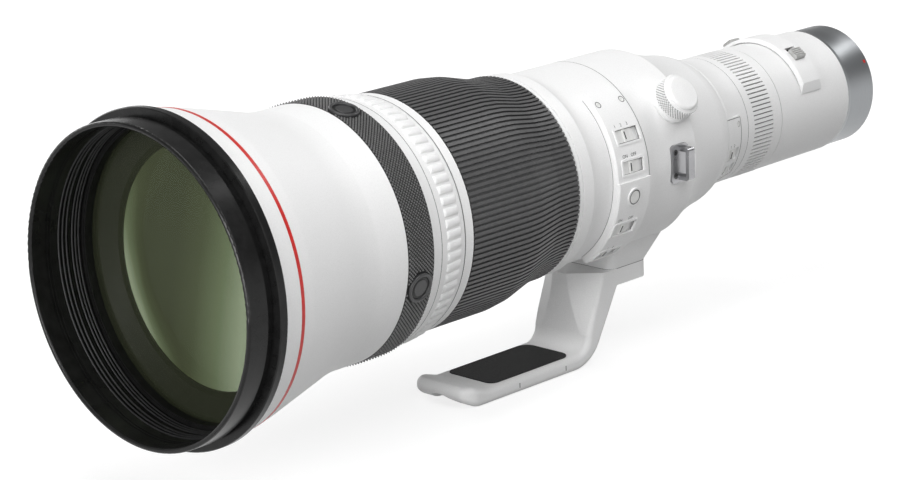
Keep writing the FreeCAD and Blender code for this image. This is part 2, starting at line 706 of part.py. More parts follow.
def rear_slider(number):
    first, last = REAR_WINDOWS[number]
    front = REAR_WINDOW_FRONT - GAP
    rear = front - REAR_SWITCH_SIZE
    return slider(first, last, rear, front, REAR_FLOOR_R, TUBE_FLARE_R - 0.2, (rear + front) / 2)


# Collar with the lock knob, strap lugs and foot

KNOB_STATION = COLLAR_FRONT - KNOB_BACK
KNOB_SEAT_R = COLLAR_R + KNOB_BOSS_PROUD
LUG_STATION = COLLAR_FRONT - LUG_PLATE_BACK
LUG_SEAT = COLLAR_R - 1.0
PEDESTAL_FRONT = COLLAR_FRONT - PEDESTAL_BACK
PEDESTAL_REAR = PEDESTAL_FRONT - PEDESTAL_LENGTH
LUG_SCREW_STATION = LUG_STATION + LUG_PLATE_LENGTH / 2 - 3.2
LUG_SCREW_Z = LUG_PLATE_HEIGHT / 2 - 4.0


def collar_ring():
    """White collar: rounded rear shoulder, hollow cone, cylinder, knob boss, lug flats and pedestal."""
    inner_rear_r = TUBE_STEP_R + 2 * GAP
    land = LAND_R + GAP
    cone_mid = (COLLAR_REAR + COLLAR_SHOULDER_LENGTH + CONE_FRONT) / 2
    cone_mid_r = (COLLAR_SHOULDER_R + COLLAR_R) / 2 - 1.3
    shoulder_mid = (COLLAR_REAR + COLLAR_SHOULDER_LENGTH * 0.45, COLLAR_SHOULDER_R - 1.6)
    shape = turned((COLLAR_REAR, inner_rear_r), (COLLAR_REAR, TUBE_FLARE_R + 0.5),
                   (shoulder_mid, (COLLAR_REAR + COLLAR_SHOULDER_LENGTH, COLLAR_SHOULDER_R)),
                   ((cone_mid, cone_mid_r), (CONE_FRONT, COLLAR_R)), (COLLAR_FRONT, COLLAR_R),
                   (COLLAR_FRONT, land), (CONE_FRONT, land))
    outer = turned((COLLAR_REAR + COLLAR_SHOULDER_LENGTH, 0),
                   (COLLAR_REAR + COLLAR_SHOULDER_LENGTH, land),
                   (COLLAR_FRONT, land), (COLLAR_FRONT, 0))
    boss = peg(KNOB_STATION, KNOB_ANGLE, KNOB_BOSS_R, COLLAR_R - 6, KNOB_SEAT_R)
    top = rounded_plan(PEDESTAL_REAR - 14, PEDESTAL_FRONT + 1.5, FOOT_HALF_WIDTH + 9, 9, 3,
                       -COLLAR_R * 0.74)
    bottom = rounded_plan(PEDESTAL_REAR, PEDESTAL_FRONT, FOOT_HALF_WIDTH, 6, 6, -PEDESTAL_DROP)
    pedestal = Part.makeLoft([top, bottom], True, True)
    shape = shape.fuse([boss.cut(outer), pedestal.cut(outer)])
    for side in (-1, 1):
        y0, y1 = (LUG_SEAT, COLLAR_R + 5) if side > 0 else (-COLLAR_R - 5, -LUG_SEAT)
        half_x = LUG_PLATE_LENGTH / 2 + FIT
        half_z = LUG_PLATE_HEIGHT / 2 + FIT
        shape = shape.cut(block(LUG_STATION - half_x, LUG_STATION + half_x, y0, y1, -half_z, half_z))
        for z in (-LUG_SCREW_Z, LUG_SCREW_Z):
            hole = side_pin(LUG_SCREW_STATION, z, PANEL_SCREW_R + SLIDE_FIT, COLLAR_R - 3, COLLAR_R + 1,
                            side)
            shape = shape.cut(hole)
    shape = shape.cut(peg(KNOB_STATION, KNOB_ANGLE, LOCK_SCREW_R + SLIDE_FIT, COLLAR_R - 8,
                          KNOB_SEAT_R + 2))
    for x, y in FOOT_BOLTS:
        shape = shape.cut(upright(x, y, FOOT_BOLT_R + SLIDE_FIT, -PEDESTAL_DROP - 1, BOLT_TIP + 0.5))
    return shape


def side_pin(x, z, radius, y0, y1, side):
    """Cylinder across the lens, between two distances from its middle, on one side."""
    start = FreeCAD.Vector(x, side * y0, z)
    return Part.makeCylinder(radius, y1 - y0, start, FreeCAD.Vector(0, side, 0))


def upright(x, y, radius, z0, z1):
    return Part.makeCylinder(radius, z1 - z0, FreeCAD.Vector(x, y, z0), UP)


FOOT_BOLTS = [(x, y) for x in (PEDESTAL_REAR + 7, PEDESTAL_REAR + 18) for y in (-12.5, 12.5)]
FLANGE_BOTTOM = -PEDESTAL_DROP - FOOT_FLANGE_THICK
BOLT_TIP = FLANGE_BOTTOM + 16.5
BOLT_HEAD_TOP = FLANGE_BOTTOM + 4.2


def strap_lug(side):
    """Steel plate with a raised bar that a strap goes behind, and two counterbored screw holes."""
    top = LUG_SEAT + LUG_PLATE_THICK
    half_x = LUG_PLATE_LENGTH / 2
    half_z = LUG_PLATE_HEIGHT / 2
    shape = block(LUG_STATION - half_x, LUG_STATION + half_x, LUG_SEAT, top, -half_z, half_z)
    corners = [e for e in shape.Edges if abs(e.Vertexes[0].Y - e.Vertexes[1].Y) > 1]
    shape = shape.makeFillet(2.5, corners)
    bar_x0 = LUG_STATION - half_x + LUG_LOOP_BACK
    bar_x1 = bar_x0 + LUG_LOOP_WIDTH
    loop_top = top + LUG_LOOP_GAP + LUG_LOOP_BAR
    loop_half = half_z - 1.5
    post = 2.2
    loop = block(bar_x0, bar_x1, top - 1, loop_top, -loop_half, loop_half)
    bends = [e for e in loop.Edges if abs(e.BoundBox.YMin - loop_top) < 0.01 and e.BoundBox.XLength > 1]
    loop = loop.makeFillet(2.0, bends)
    loop = loop.cut(block(bar_x0 - 1, bar_x1 + 1, top, top + LUG_LOOP_GAP, post - loop_half,
                          loop_half - post))
    shape = shape.fuse(loop)
    for z in (-LUG_SCREW_Z, LUG_SCREW_Z):
        shape = shape.cut(side_pin(LUG_SCREW_STATION, z, PANEL_SCREW_R + SLIDE_FIT, LUG_SEAT - 1,
                                   top + 1, 1))
        shape = shape.cut(side_pin(LUG_SCREW_STATION, z, PANEL_SCREW_HEAD_R + FIT, top - 1.0, top + 1,
                                   1))
    if side < 0:
        shape = shape.mirror(ORIGIN, FreeCAD.Vector(0, 1, 0))
    return shape


def strap_lug_screws():
    screws = []
    head_top = LUG_SEAT + LUG_PLATE_THICK - 0.1
    for side in (-1, 1):
        for z in (-LUG_SCREW_Z, LUG_SCREW_Z):
            head = side_pin(LUG_SCREW_STATION, z, PANEL_SCREW_HEAD_R, head_top - 0.9, head_top, side)
            shank = side_pin(LUG_SCREW_STATION, z, PANEL_SCREW_R, COLLAR_R - 2.8, head_top - 0.8, side)
            cross = side_pin(LUG_SCREW_STATION, z, 0.6, head_top - 0.5, head_top + 1, side)
            screws.append(head.fuse(shank).cut(cross))
    return screws


def lock_knob():
    """White knob: flange, knurled band, groove and domed cap, hollow for the screw's head."""
    base = KNOB_SEAT_R + GAP
    top = base + KNOB_HEIGHT
    face = Part.Face(outline((0, base), (KNOB_R, base), (KNOB_R, base + 1.6),
                             (KNOB_R - 0.5, base + 1.9),
                             (KNOB_R - 0.5, top - 3.0), (KNOB_CAP_R + 0.6, top - 2.6),
                             (KNOB_CAP_R, top - 2.6),
                             ((KNOB_CAP_R - 0.4, top - 0.9), (KNOB_CAP_R - 1.9, top - 0.35)), (0, top)))
    shape = face.revolve(ORIGIN, UP, 360)
    socket = Part.makeCylinder(LOCK_SCREW_R + SLIDE_FIT, 6, FreeCAD.Vector(0, 0, base - 0.1), UP)
    shape = shape.cut(socket)
    shape.translate(FreeCAD.Vector(KNOB_STATION, 0, 0))
    return at_angle(shape, KNOB_ANGLE)


def lock_screw():
    """Screw pressed into the knob, with its tip just clear of the tube that it clamps."""
    return peg(KNOB_STATION, KNOB_ANGLE, LOCK_SCREW_R, LAND_R + GAP, KNOB_SEAT_R + GAP + 5.5)


def leg_rear(z):
    """Station of the leg's raking rear face at a height."""
    return PEDESTAL_REAR + LEG_START + (FLANGE_BOTTOM - z) * LEG_RAKE


def leg():
    """Raking leg whose front is a narrow flat between two facets that fade out towards the plate."""
    front = PEDESTAL_FRONT + LEG_FRONT_OFFSET
    joint = PLATE_TOP + FOOT_FILLET
    drop = -PEDESTAL_DROP - joint
    half = FOOT_HALF_WIDTH
    sections = []
    for share, side_back, flat in LEG_SECTIONS:
        z = -PEDESTAL_DROP - share * drop
        rear = leg_rear(z)
        side = front - side_back
        edge = FOOT_EDGE_R
        corners = [(rear, -half, edge), (rear, half, edge), (side, half, edge), (front, flat, 2),
                   (front, -flat, 2),
                   (side, -half, edge)]
        sections.append(rounded_wire([(FreeCAD.Vector(x, y, z), radius) for x, y, radius in corners]))
    return Part.makeLoft(sections, True, True)


def foot_plate():
    """Plate from heel to turned-up nose, with the nose rounded in plan and every long edge rounded."""
    front = PEDESTAL_FRONT + LEG_FRONT_OFFSET
    joint = PLATE_TOP + FOOT_FILLET
    nose_top = PLATE_TOP + FOOT_NOSE_RISE
    slope = math.radians(NOSE_SLOPE)
    tip = NOSE - NOSE_R + NOSE_R / math.tan(slope / 2)
    chin = tip - (nose_top + FOOT_DROP) / math.tan(slope)
    corners = [(leg_rear(joint), joint, 0), (leg_rear(-FOOT_DROP), -FOOT_DROP, HEEL_R),
               (chin, -FOOT_DROP, 14),
               (tip, nose_top, NOSE_R), (NOSE - 7.5, nose_top, 6), (NOSE - 18, PLATE_TOP, 12),
               (front, PLATE_TOP, FOOT_FILLET - 0.5), (front, joint, 0)]
    side = rounded_wire([(FreeCAD.Vector(x, 0, z), radius) for x, z, radius in corners])
    face = Part.Face(side)
    face.translate(FreeCAD.Vector(0, -FOOT_HALF_WIDTH, 0))
    shape = face.extrude(FreeCAD.Vector(0, 2 * FOOT_HALF_WIDTH, 0))
    plan = plan_block(PEDESTAL_REAR - 1, NOSE + FOOT_CORNER_LEAD, FOOT_HALF_WIDTH, 1, FOOT_CORNER_R,
                      -FOOT_DROP - 1, joint + 1)
    shape = shape.common(plan)
    rims = []
    for edge in shape.Edges:
        box = edge.BoundBox
        on_side = box.YLength < 0.01 and abs(abs(box.YMin) - FOOT_HALF_WIDTH) < 0.01
        if on_side and box.XLength > 0.2 and box.ZMin < joint - 0.5:
            rims.append(edge)
    return shape.makeFillet(FOOT_EDGE_R, rims)


def foot():
    """White foot: flange under the pedestal, raking leg and long plate with a turned-up nose."""
    seat = -PEDESTAL_DROP
    flange = plan_block(PEDESTAL_REAR, PEDESTAL_FRONT, FOOT_HALF_WIDTH, 6, 2, FLANGE_BOTTOM, seat)
    shape = foot_plate().fuse([leg(), flange], JOIN_TOLERANCE)
    scoop = Part.makeCylinder(SCOOP_R, 2 * SCOOP_R, FreeCAD.Vector(NOSE + 3, 0,
                                                                   -FOOT_DROP - SCOOP_R + 6.8),
                              FreeCAD.Vector(-1, 0, -0.18))
    shape = shape.cut(scoop).cut(foot_pad())
    for x, y in FOOT_BOLTS:
        shape = shape.cut(upright(x, y, FOOT_BOLT_R + SLIDE_FIT, FLANGE_BOTTOM - 1, seat + 1))
        shape = shape.cut(upright(x, y, FOOT_BOLT_HEAD_R + FIT, FLANGE_BOTTOM - 1, BOLT_HEAD_TOP))
    for x, radius in ((BIG_THREAD_X, BIG_THREAD_R), (SMALL_THREAD_X, SMALL_THREAD_R)):
        shape = shape.cut(upright(x, 0, radius, -FOOT_DROP - 1, -FOOT_DROP + THREAD_DEPTH))
    return shape


PLATE_TOP = FOOT_PLATE_THICK - FOOT_DROP
NOSE = PEDESTAL_REAR + FOOT_REACH
PAD_FRONT = NOSE - 23.5
PAD_REAR = PAD_FRONT - PAD_LENGTH
BIG_THREAD_X = PAD_FRONT - 13.0
SMALL_THREAD_X = BIG_THREAD_X - THREAD_SPACING


def foot_pad():
    """Rubber pad let into the top of the plate, its rear end rounded."""
    z0 = PLATE_TOP + PAD_PROUD - PAD_THICK
    z1 = PLATE_TOP + PAD_PROUD
    return plan_block(PAD_REAR, PAD_FRONT, PAD_HALF_WIDTH, 7, 5, z0, z1)


def foot_bolts():
    bolts = []
    for x, y in FOOT_BOLTS:
        head = upright(x, y, FOOT_BOLT_HEAD_R, BOLT_HEAD_TOP - 3.8, BOLT_HEAD_TOP)
        shank = upright(x, y, FOOT_BOLT_R, BOLT_HEAD_TOP - 0.5, BOLT_TIP)
        socket = upright(x, y, 1.5, BOLT_HEAD_TOP - 5, BOLT_HEAD_TOP - 1.8)
        bolts.append(head.fuse(shank).cut(socket))
    return bolts


# Main body and the switch panel

PANEL_REAR = BODY_REAR + PANEL_BACK
PANEL_FRONT = PANEL_REAR + PANEL_LENGTH
PANEL_SEAT_R = BODY_R + FIT / 2
WALL_REAR = BODY_REAR + 14.5
WALL_THICK = 3.0
ROD_FRONT = BODY_REAR + 120.0
BODY_BORE_R = BODY_R - BODY_WALL - 1.5
FOCUS_SEAT_REAR_R = FOCUS_REAR_R - RUBBER_THICK - SLEEVE_THICK
FOCUS_SEAT_FRONT_R = FOCUS_FRONT_R - RUBBER_THICK - SLEEVE_THICK
RISE_REAR = FOCUS_REAR + FOCUS_REAR_LAND
RISE_FRONT = RISE_REAR + FOCUS_RISE_LENGTH
PANEL_SCREWS = [(PANEL_REAR + 3.2, PANEL_TOP + 6.9), (PANEL_FRONT - 4.4, PANEL_TOP + 6.7)]
ROD_ANGLES = (40.0, 220.0)


def main_body():
    """White body with a stepped front, and the sleeve that the focus ring turns on."""
    bore_front = FOCUS_SEAT_FRONT_R - GAP - BODY_WALL
    bore_rear = FOCUS_SEAT_REAR_R - GAP - BODY_WALL
    step = BODY_FRONT - BODY_STEP_LENGTH
    rod_wall = ROD_CIRCLE_R - 3.5
    shape = turned((BODY_REAR, BODY_BORE_R - 0.5), (BODY_REAR, BODY_R), (step, BODY_R),
                   ((step + 4, BODY_R + 0.3), (step + 8.5, BODY_FRONT_R - 0.5)),
                   (step + 9.3, BODY_FRONT_R - 0.2),
                   (BODY_FRONT - 3.2, BODY_FRONT_R - 0.1), (BODY_FRONT - 3.0, BODY_FRONT_R - 0.5),
                   (BODY_FRONT - 2.6, BODY_FRONT_R - 0.5), (BODY_FRONT - 2.4, BODY_FRONT_R),
                   (BODY_FRONT, BODY_FRONT_R),
                   (BODY_FRONT, FOCUS_SEAT_REAR_R - GAP), (RISE_REAR, FOCUS_SEAT_REAR_R - GAP),
                   (RISE_FRONT, FOCUS_SEAT_FRONT_R - GAP), (SHOULDER_REAR, FOCUS_SEAT_FRONT_R - GAP),
                   (SHOULDER_REAR, bore_front), (ROD_FRONT + WALL_THICK, bore_front),
                   (ROD_FRONT + WALL_THICK, rod_wall), (ROD_FRONT, rod_wall), (ROD_FRONT, bore_front),
                   (RISE_FRONT, bore_front), (RISE_REAR, bore_rear),
                   (WALL_REAR + WALL_THICK, bore_rear),
                   (WALL_REAR + WALL_THICK, rod_wall), (WALL_REAR, rod_wall),
                   (WALL_REAR, BODY_BORE_R - 0.5))
    for station, angle in PANEL_SCREWS:
        shape = shape.cut(peg(station, angle, PANEL_SCREW_R + SLIDE_FIT, BODY_R - 2, BODY_R + 2))
    for angle in ROD_ANGLES:
        shape = shape.cut(pin_along(WALL_REAR - 1, WALL_REAR + WALL_THICK + 1, ROD_R + SLIDE_FIT, angle,
                                    ROD_CIRCLE_R))
        shape = shape.cut(pin_along(ROD_FRONT - 1, ROD_FRONT + WALL_THICK + 1, ROD_R + SLIDE_FIT, angle,
                                    ROD_CIRCLE_R))
    return shape


# Each window of the main panel: name, rear and front from the panel's rear edge, angles,
# slider length and slider travel towards the rear
WINDOWS = [("stabiliser_mode_switch", 2.6, 20.4, 61.8, 69.4, 13.0, 4.2),
           ("stabiliser_power_switch", 4.4, 20.6, 79.3, 86.5, 12.0, 3.6),
           ("preset_switch", 7.0, 24.0, 114.4, 122.0, 12.4, 4.0),
           ("preset_mode_switch", 7.0, 24.0, 135.0, 141.6, 12.4, 4.0)]


def panel_r(angle):
    return PANEL_UPPER_R if angle < PANEL_STEP else PANEL_LOWER_R


def panel_sector(first, last, radius):
    bevel = PANEL_BEVEL
    return sector(first, last, (PANEL_REAR, PANEL_SEAT_R), (PANEL_REAR, radius - bevel),
                  (PANEL_REAR + bevel, radius),
                  (PANEL_FRONT - bevel, radius), (PANEL_FRONT, radius - bevel),
                  (PANEL_FRONT, PANEL_SEAT_R))


def window_frame(rear, front, first, last):
    """Raised frame with round corners, still solid where its window will be cut."""
    top = panel_r(first)
    turn = math.degrees(FRAME_WIDTH / top)
    shape = arc_block(first - turn, last + turn, PANEL_REAR + rear - FRAME_WIDTH,
                      PANEL_REAR + front + FRAME_WIDTH, top - 1.5, top + FRAME_PROUD)
    corners = [e for e in shape.Edges if isinstance(e.Curve, Part.Line) and e.BoundBox.XLength < 0.01]
    return shape.makeFillet(FRAME_CORNER_R, corners)


def main_switch_panel():
    """White curved panel in two levels, with a window for each switch and a rim round the button."""
    shape = panel_sector(PANEL_TOP, PANEL_STEP, PANEL_UPPER_R)
    shape = shape.fuse(panel_sector(PANEL_STEP, PANEL_END, PANEL_LOWER_R))
    shape = shape.fuse(peg(SET_STATION, SET_ANGLE, SET_RIM_R, PANEL_SEAT_R + 2, PANEL_LOWER_R + 0.6))
    for name, rear, front, first, last, size, travel in WINDOWS:
        shape = shape.fuse(window_frame(rear, front, first, last))
    for name, rear, front, first, last, size, travel in WINDOWS:
        top = panel_r(first)
        shape = shape.cut(arc_block(first, last, PANEL_REAR + rear, PANEL_REAR + front,
                                    top - WINDOW_DEPTH, top + 3))
    shape = shape.cut(peg(SET_STATION, SET_ANGLE, SET_BUTTON_R + GAP, PANEL_LOWER_R - 3,
                          PANEL_LOWER_R + 3))
    for station, angle in PANEL_SCREWS:
        shape = shape.cut(peg(station, angle, PANEL_SCREW_HEAD_R + FIT, PANEL_UPPER_R - 0.9,
                              PANEL_UPPER_R + 2))
        shape = shape.cut(peg(station, angle, PANEL_SCREW_R + SLIDE_FIT, BODY_R - 2, PANEL_UPPER_R + 2))
    return shape


SET_STATION = PANEL_REAR + 13.6


def panel_slider(entry):
    name, rear, front, first, last, size, travel = entry
    top = panel_r(first)
    slider_front = PANEL_REAR + front - GAP
    slider_rear = slider_front - size
    middle = (slider_front + slider_rear) / 2
    return slider(first, last, slider_rear, slider_front, top - WINDOW_DEPTH, top + 0.1, middle)


def set_button():
    return peg(SET_STATION, SET_ANGLE, SET_BUTTON_R, PANEL_LOWER_R - 3 + SET_TRAVEL + FIT,
               PANEL_LOWER_R + 0.5)


def panel_screws():
    screws = []
    rear_top = REAR_TUBE_R + REAR_PANEL_PROUD
    places = [(s, a, PANEL_UPPER_R - 0.05, BODY_R - 1.8) for s, a in PANEL_SCREWS]
    places.append((REAR_SCREW_STATION, REAR_SCREW_ANGLE, rear_top - 0.05, REAR_TUBE_R - 2.4))
    for station, angle, top, tip in places:
        head = peg(station, angle, PANEL_SCREW_HEAD_R, top - 0.7, top)
        shank = peg(station, angle, PANEL_SCREW_R, tip, top - 0.6)
        cross = peg(station, angle, 0.6, top - 0.4, top + 1)
        screws.append(head.fuse(shank).cut(cross))
    return screws


# Focus ring

def focus_profile(drop, inset):
    """Outside of the focus ring, lowered by a drop: a land, a smooth rise and a land."""
    rear = FOCUS_REAR_R - drop
    rise = FOCUS_FRONT_R - FOCUS_REAR_R
    points = [(FOCUS_REAR + inset, rear)]
    for i in range(RISE_STEPS + 1):
        u = i / RISE_STEPS
        points.append((RISE_REAR + u * (RISE_FRONT - RISE_REAR), rear + rise * u * u * (3 - 2 * u)))
    points.append((FOCUS_FRONT - inset, rear + rise))
    return points


def focus_ring_sleeve():
    """Aluminium sleeve that turns on the body."""
    bore_rear = FOCUS_SEAT_REAR_R
    bore_front = FOCUS_SEAT_FRONT_R
    outside = focus_profile(RUBBER_THICK, 0)
    return turned((FOCUS_REAR, bore_rear), *outside, (FOCUS_FRONT, bore_front),
                  (RISE_FRONT, bore_front),
                  (RISE_REAR, bore_rear))


def focus_ring_rubber():
    """Rubber grip whose axial ribs follow the swelling outline of the ring."""
    base = turned(*focus_profile(RIB_HEIGHT, 0), *reversed(focus_profile(RUBBER_THICK, 0)))
    section = outline(*focus_profile(0, 0.6), *reversed(focus_profile(RIB_HEIGHT + 0.4, 0.6)))
    sweep = math.degrees(RIB_WIDTH / FOCUS_FRONT_R)
    rib = Part.Face(section).revolve(ORIGIN, TURN, sweep)
    return base.fuse([at_angle(rib, i * 360 / RIB_COUNT) for i in range(RIB_COUNT)])


# Playback ring and its carrier

CARRIER_SEAT_R = PLAYBACK_REAR_R - PLAYBACK_WALL - GAP
CARRIER_BORE_R = CARRIER_SEAT_R - BODY_WALL
BODY_FRONT_BORE_R = FOCUS_SEAT_FRONT_R - GAP - BODY_WALL


def ring_carrier():
    """White shoulder in front of the focus ring, and the seat that the playback ring turns on."""
    spigot_r = BODY_FRONT_BORE_R - FIT
    spigot_rear = SHOULDER_REAR - 9
    return turned((spigot_rear, spigot_r - 2), (spigot_rear, spigot_r), (SHOULDER_REAR, spigot_r),
                  (SHOULDER_REAR, SHOULDER_R - 0.1), (SHOULDER_FRONT, SHOULDER_R),
                  (SHOULDER_FRONT, CARRIER_SEAT_R),
                  (BELL_REAR + 4.2, CARRIER_SEAT_R), (BELL_REAR + 4.2, CARRIER_BORE_R),
                  (SHOULDER_REAR + 3, CARRIER_BORE_R), (SHOULDER_REAR + 3, spigot_r - 2))


def playback_ring():
    """White ring with short raised ribs round its middle."""
    bore = CARRIER_SEAT_R + GAP
    rib_rear = PLAYBACK_REAR + 3.9
    rib_front = rib_rear + PLAYBACK_RIB_LENGTH
    slope = (PLAYBACK_FRONT_R - PLAYBACK_REAR_R) / PLAYBACK_LENGTH
    r_rear = PLAYBACK_REAR_R + slope * (rib_rear - PLAYBACK_REAR)
    r_front = PLAYBACK_REAR_R + slope * (rib_front - PLAYBACK_REAR)
    chamfer = 0.3
    shape = turned((PLAYBACK_REAR, bore), (PLAYBACK_REAR, PLAYBACK_REAR_R - chamfer),
                   (PLAYBACK_REAR + chamfer, PLAYBACK_REAR_R),
                   (PLAYBACK_FRONT - chamfer, PLAYBACK_FRONT_R),
                   (PLAYBACK_FRONT, PLAYBACK_FRONT_R - chamfer), (PLAYBACK_FRONT, bore))
    high = PLAYBACK_RIB_HEIGHT
    section = outline((rib_rear, r_rear - 0.5), (rib_rear, r_rear + high * 0.5),
                      (rib_rear + 0.8, r_rear + high),
                      (rib_front - 0.8, r_front + high), (rib_front, r_front + high * 0.5),
                      (rib_front, r_front - 0.5))
    sweep = 360 / PLAYBACK_RIB_COUNT * PLAYBACK_RIB_SHARE
    rib = Part.Face(section).revolve(ORIGIN, TURN, sweep)
    return shape.fuse([at_angle(rib, i * 360 / PLAYBACK_RIB_COUNT) for i in range(PLAYBACK_RIB_COUNT)])


# Front bell, grip and function buttons

BUTTON_STATION = (GRIP_REAR + GRIP_FRONT) / 2
BUTTON_ANGLES = [BUTTON_ANGLE + i * 360 / BUTTON_COUNT for i in range(BUTTON_COUNT)]
GRIP_SEAT_R = GRIP_R - GRIP_THICK
BUTTON_TOP = GRIP_R + 0.4
STEM_R = 1.8
BELL_BORE_R = GRIP_SEAT_R - BELL_WALL
CONE_REAR = GRIP_FRONT + BELL_STRAIGHT
CHIN = CONE_REAR + BELL_CHIN_LENGTH
CHIN_R = BELL_REAR_R + BELL_CHIN_RISE
CHIN_BORE_R = CHIN_R - BELL_WALL - 0.8
FLARE = RIM_REAR - BELL_FLARE_LENGTH
FLARE_R = BELL_FRONT_R - BELL_FLARE_RISE
RIM_FLANGE_R = BELL_FRONT_R + RIM_FLANGE_PROUD
RIM_R = BELL_FRONT_R - RIM_BAND_DROP
RIM_GROOVE_R = RIM_R - RIM_GROOVE_DEPTH
RIM_BORE_R = RIM_R - RIM_LIP
FRONT_GLASS_R = RIM_BORE_R - GLASS_INSET
GLASS_REAR = RIM_REAR - GLASS_BACK
GLASS_FRONT = GLASS_REAR + FRONT_GLASS_EDGE
CELL_R = FRONT_GLASS_R + FIT + CELL_WALL
CELL_FRONT = GLASS_FRONT + GAP + RETAINER_LENGTH + 0.4
SEAT_STATION = CELL_FRONT
RIM_SEAT_R = RIM_BORE_R + 1.2
SECOND_GLASS_R = FRONT_GLASS_R - SECOND_INSET
SECOND_REAR = GLASS_REAR - SECOND_BACK
RED_LINE_REAR = RIM_REAR - RED_LINE_BACK - RED_LINE_WIDTH / 2
RED_LINE_R = FLARE_R + (BELL_FLARE_LENGTH - RED_LINE_BACK) * 0.176


def bell_bore(station):
    """Radius of the bell's conical bore between the chin and the front cell's seat."""
    share = (station - CHIN) / (GLASS_REAR - GAP - CHIN)
    return CHIN_BORE_R + share * (CELL_R + FIT - CHIN_BORE_R)


def front_bell():
    """White bell that flares from the grip to the front rim."""
    shape = turned((BELL_REAR, CARRIER_SEAT_R + FIT), (BELL_REAR, BELL_COLLAR_R - 0.9),
                   (GRIP_REAR, BELL_COLLAR_R),
                   (GRIP_REAR, GRIP_SEAT_R), (GRIP_FRONT, GRIP_SEAT_R), (GRIP_FRONT, BELL_REAR_R),
                   (CONE_REAR, BELL_REAR_R), ((CONE_REAR + BELL_CHIN_LENGTH / 2,
                                               BELL_REAR_R + BELL_CHIN_RISE / 3),
                                              (CHIN, CHIN_R)),
                   (FLARE, FLARE_R), ((RIM_REAR - BELL_FLARE_LENGTH / 2,
                                       BELL_FRONT_R - BELL_FLARE_RISE * 0.51),
                                      (RIM_REAR, BELL_FRONT_R)),
                   (RIM_REAR, RIM_SEAT_R + FIT), (SEAT_STATION, RIM_SEAT_R + FIT),
                   (SEAT_STATION, CELL_R + FIT),
                   (GLASS_REAR - GAP, CELL_R + FIT), (CHIN, CHIN_BORE_R), (CONE_REAR, BELL_BORE_R),
                   (BELL_REAR + 4.5, BELL_BORE_R), (BELL_REAR + 4.5, CARRIER_SEAT_R + FIT))
    groove = tube(RED_LINE_REAR, RED_LINE_REAR + RED_LINE_WIDTH, RED_LINE_R - 0.6, RED_LINE_R + 2)
    shape = shape.cut(groove)
    for angle in BUTTON_ANGLES:
        shape = shape.cut(peg(BUTTON_STATION, angle, STEM_R + GAP, BELL_BORE_R - 2, GRIP_R))
    return shape


def red_line_ring():
    """Thin red ring let into the bell."""
    return tube(RED_LINE_REAR, RED_LINE_REAR + RED_LINE_WIDTH, RED_LINE_R - 0.6, RED_LINE_R + 0.1)


def knurled_grip():
    """Rubber ring round the rear of the bell, with a round hole for each button."""
    edge = 0.3
    shape = turned((GRIP_REAR, GRIP_SEAT_R + FIT / 2), (GRIP_REAR, GRIP_R - edge),
                   (GRIP_REAR + edge, GRIP_R),
                   (GRIP_FRONT - edge, GRIP_R), (GRIP_FRONT, GRIP_R - edge),
                   (GRIP_FRONT, GRIP_SEAT_R + FIT / 2))
    for angle in BUTTON_ANGLES:
        shape = shape.cut(peg(BUTTON_STATION, angle, BEZEL_R + FIT, GRIP_SEAT_R - 2, GRIP_R + 2))
    return shape


def button_bezels():
    bezels = []
    for angle in BUTTON_ANGLES:
        outer = peg(BUTTON_STATION, angle, BEZEL_R, GRIP_SEAT_R + 0.1, BUTTON_TOP + 0.3)
        bezels.append(outer.cut(peg(BUTTON_STATION, angle, BUTTON_R + GAP, GRIP_SEAT_R - 1,
                                    GRIP_R + 3)))
    return bezels


def function_button(angle):
    cap = peg(BUTTON_STATION, angle, BUTTON_R, GRIP_SEAT_R + 0.1 + BUTTON_TRAVEL, BUTTON_TOP)
    return cap.fuse(peg(BUTTON_STATION, angle, STEM_R, BELL_BORE_R + 0.2, GRIP_SEAT_R + 1))


def front_rim():
    """Black front ring: outer flange, groove, hood band and thin lip, with light traps in its bore."""
    flange_front = RIM_REAR + RIM_FLANGE_LENGTH
    band_rear = flange_front + RIM_GROOVE_LENGTH
    spigot_rear = SEAT_STATION + GAP
    lip_mid = RIM_R - RIM_LIP / 2
    bore = []
    for back in TRAP_BACKS:
        front = RIM_FRONT - back
        bore += [(front, RIM_BORE_R), (front, RIM_BORE_R + TRAP_DEPTH),
                 (front - TRAP_WIDTH, RIM_BORE_R + TRAP_DEPTH),
                 (front - TRAP_WIDTH, RIM_BORE_R)]
    return turned((RIM_REAR, RIM_FLANGE_R - 0.2), (RIM_REAR + 0.4, RIM_FLANGE_R),
                  (flange_front - 0.5, RIM_FLANGE_R),
                  (flange_front, RIM_FLANGE_R - 0.5), (flange_front + 0.4, RIM_GROOVE_R),
                  (band_rear, RIM_GROOVE_R),
                  (band_rear + 0.6, RIM_R), (RIM_FRONT - 1.2, RIM_R),
                  ((RIM_FRONT - 0.35, RIM_R - 0.35), (RIM_FRONT, lip_mid + 0.2)),
                  (RIM_FRONT, lip_mid - 0.2),
                  ((RIM_FRONT - 0.35, RIM_BORE_R + 0.35), (RIM_FRONT - 1.2, RIM_BORE_R)), *bore,
                  (spigot_rear, RIM_BORE_R), (spigot_rear, RIM_SEAT_R), (RIM_REAR, RIM_SEAT_R))


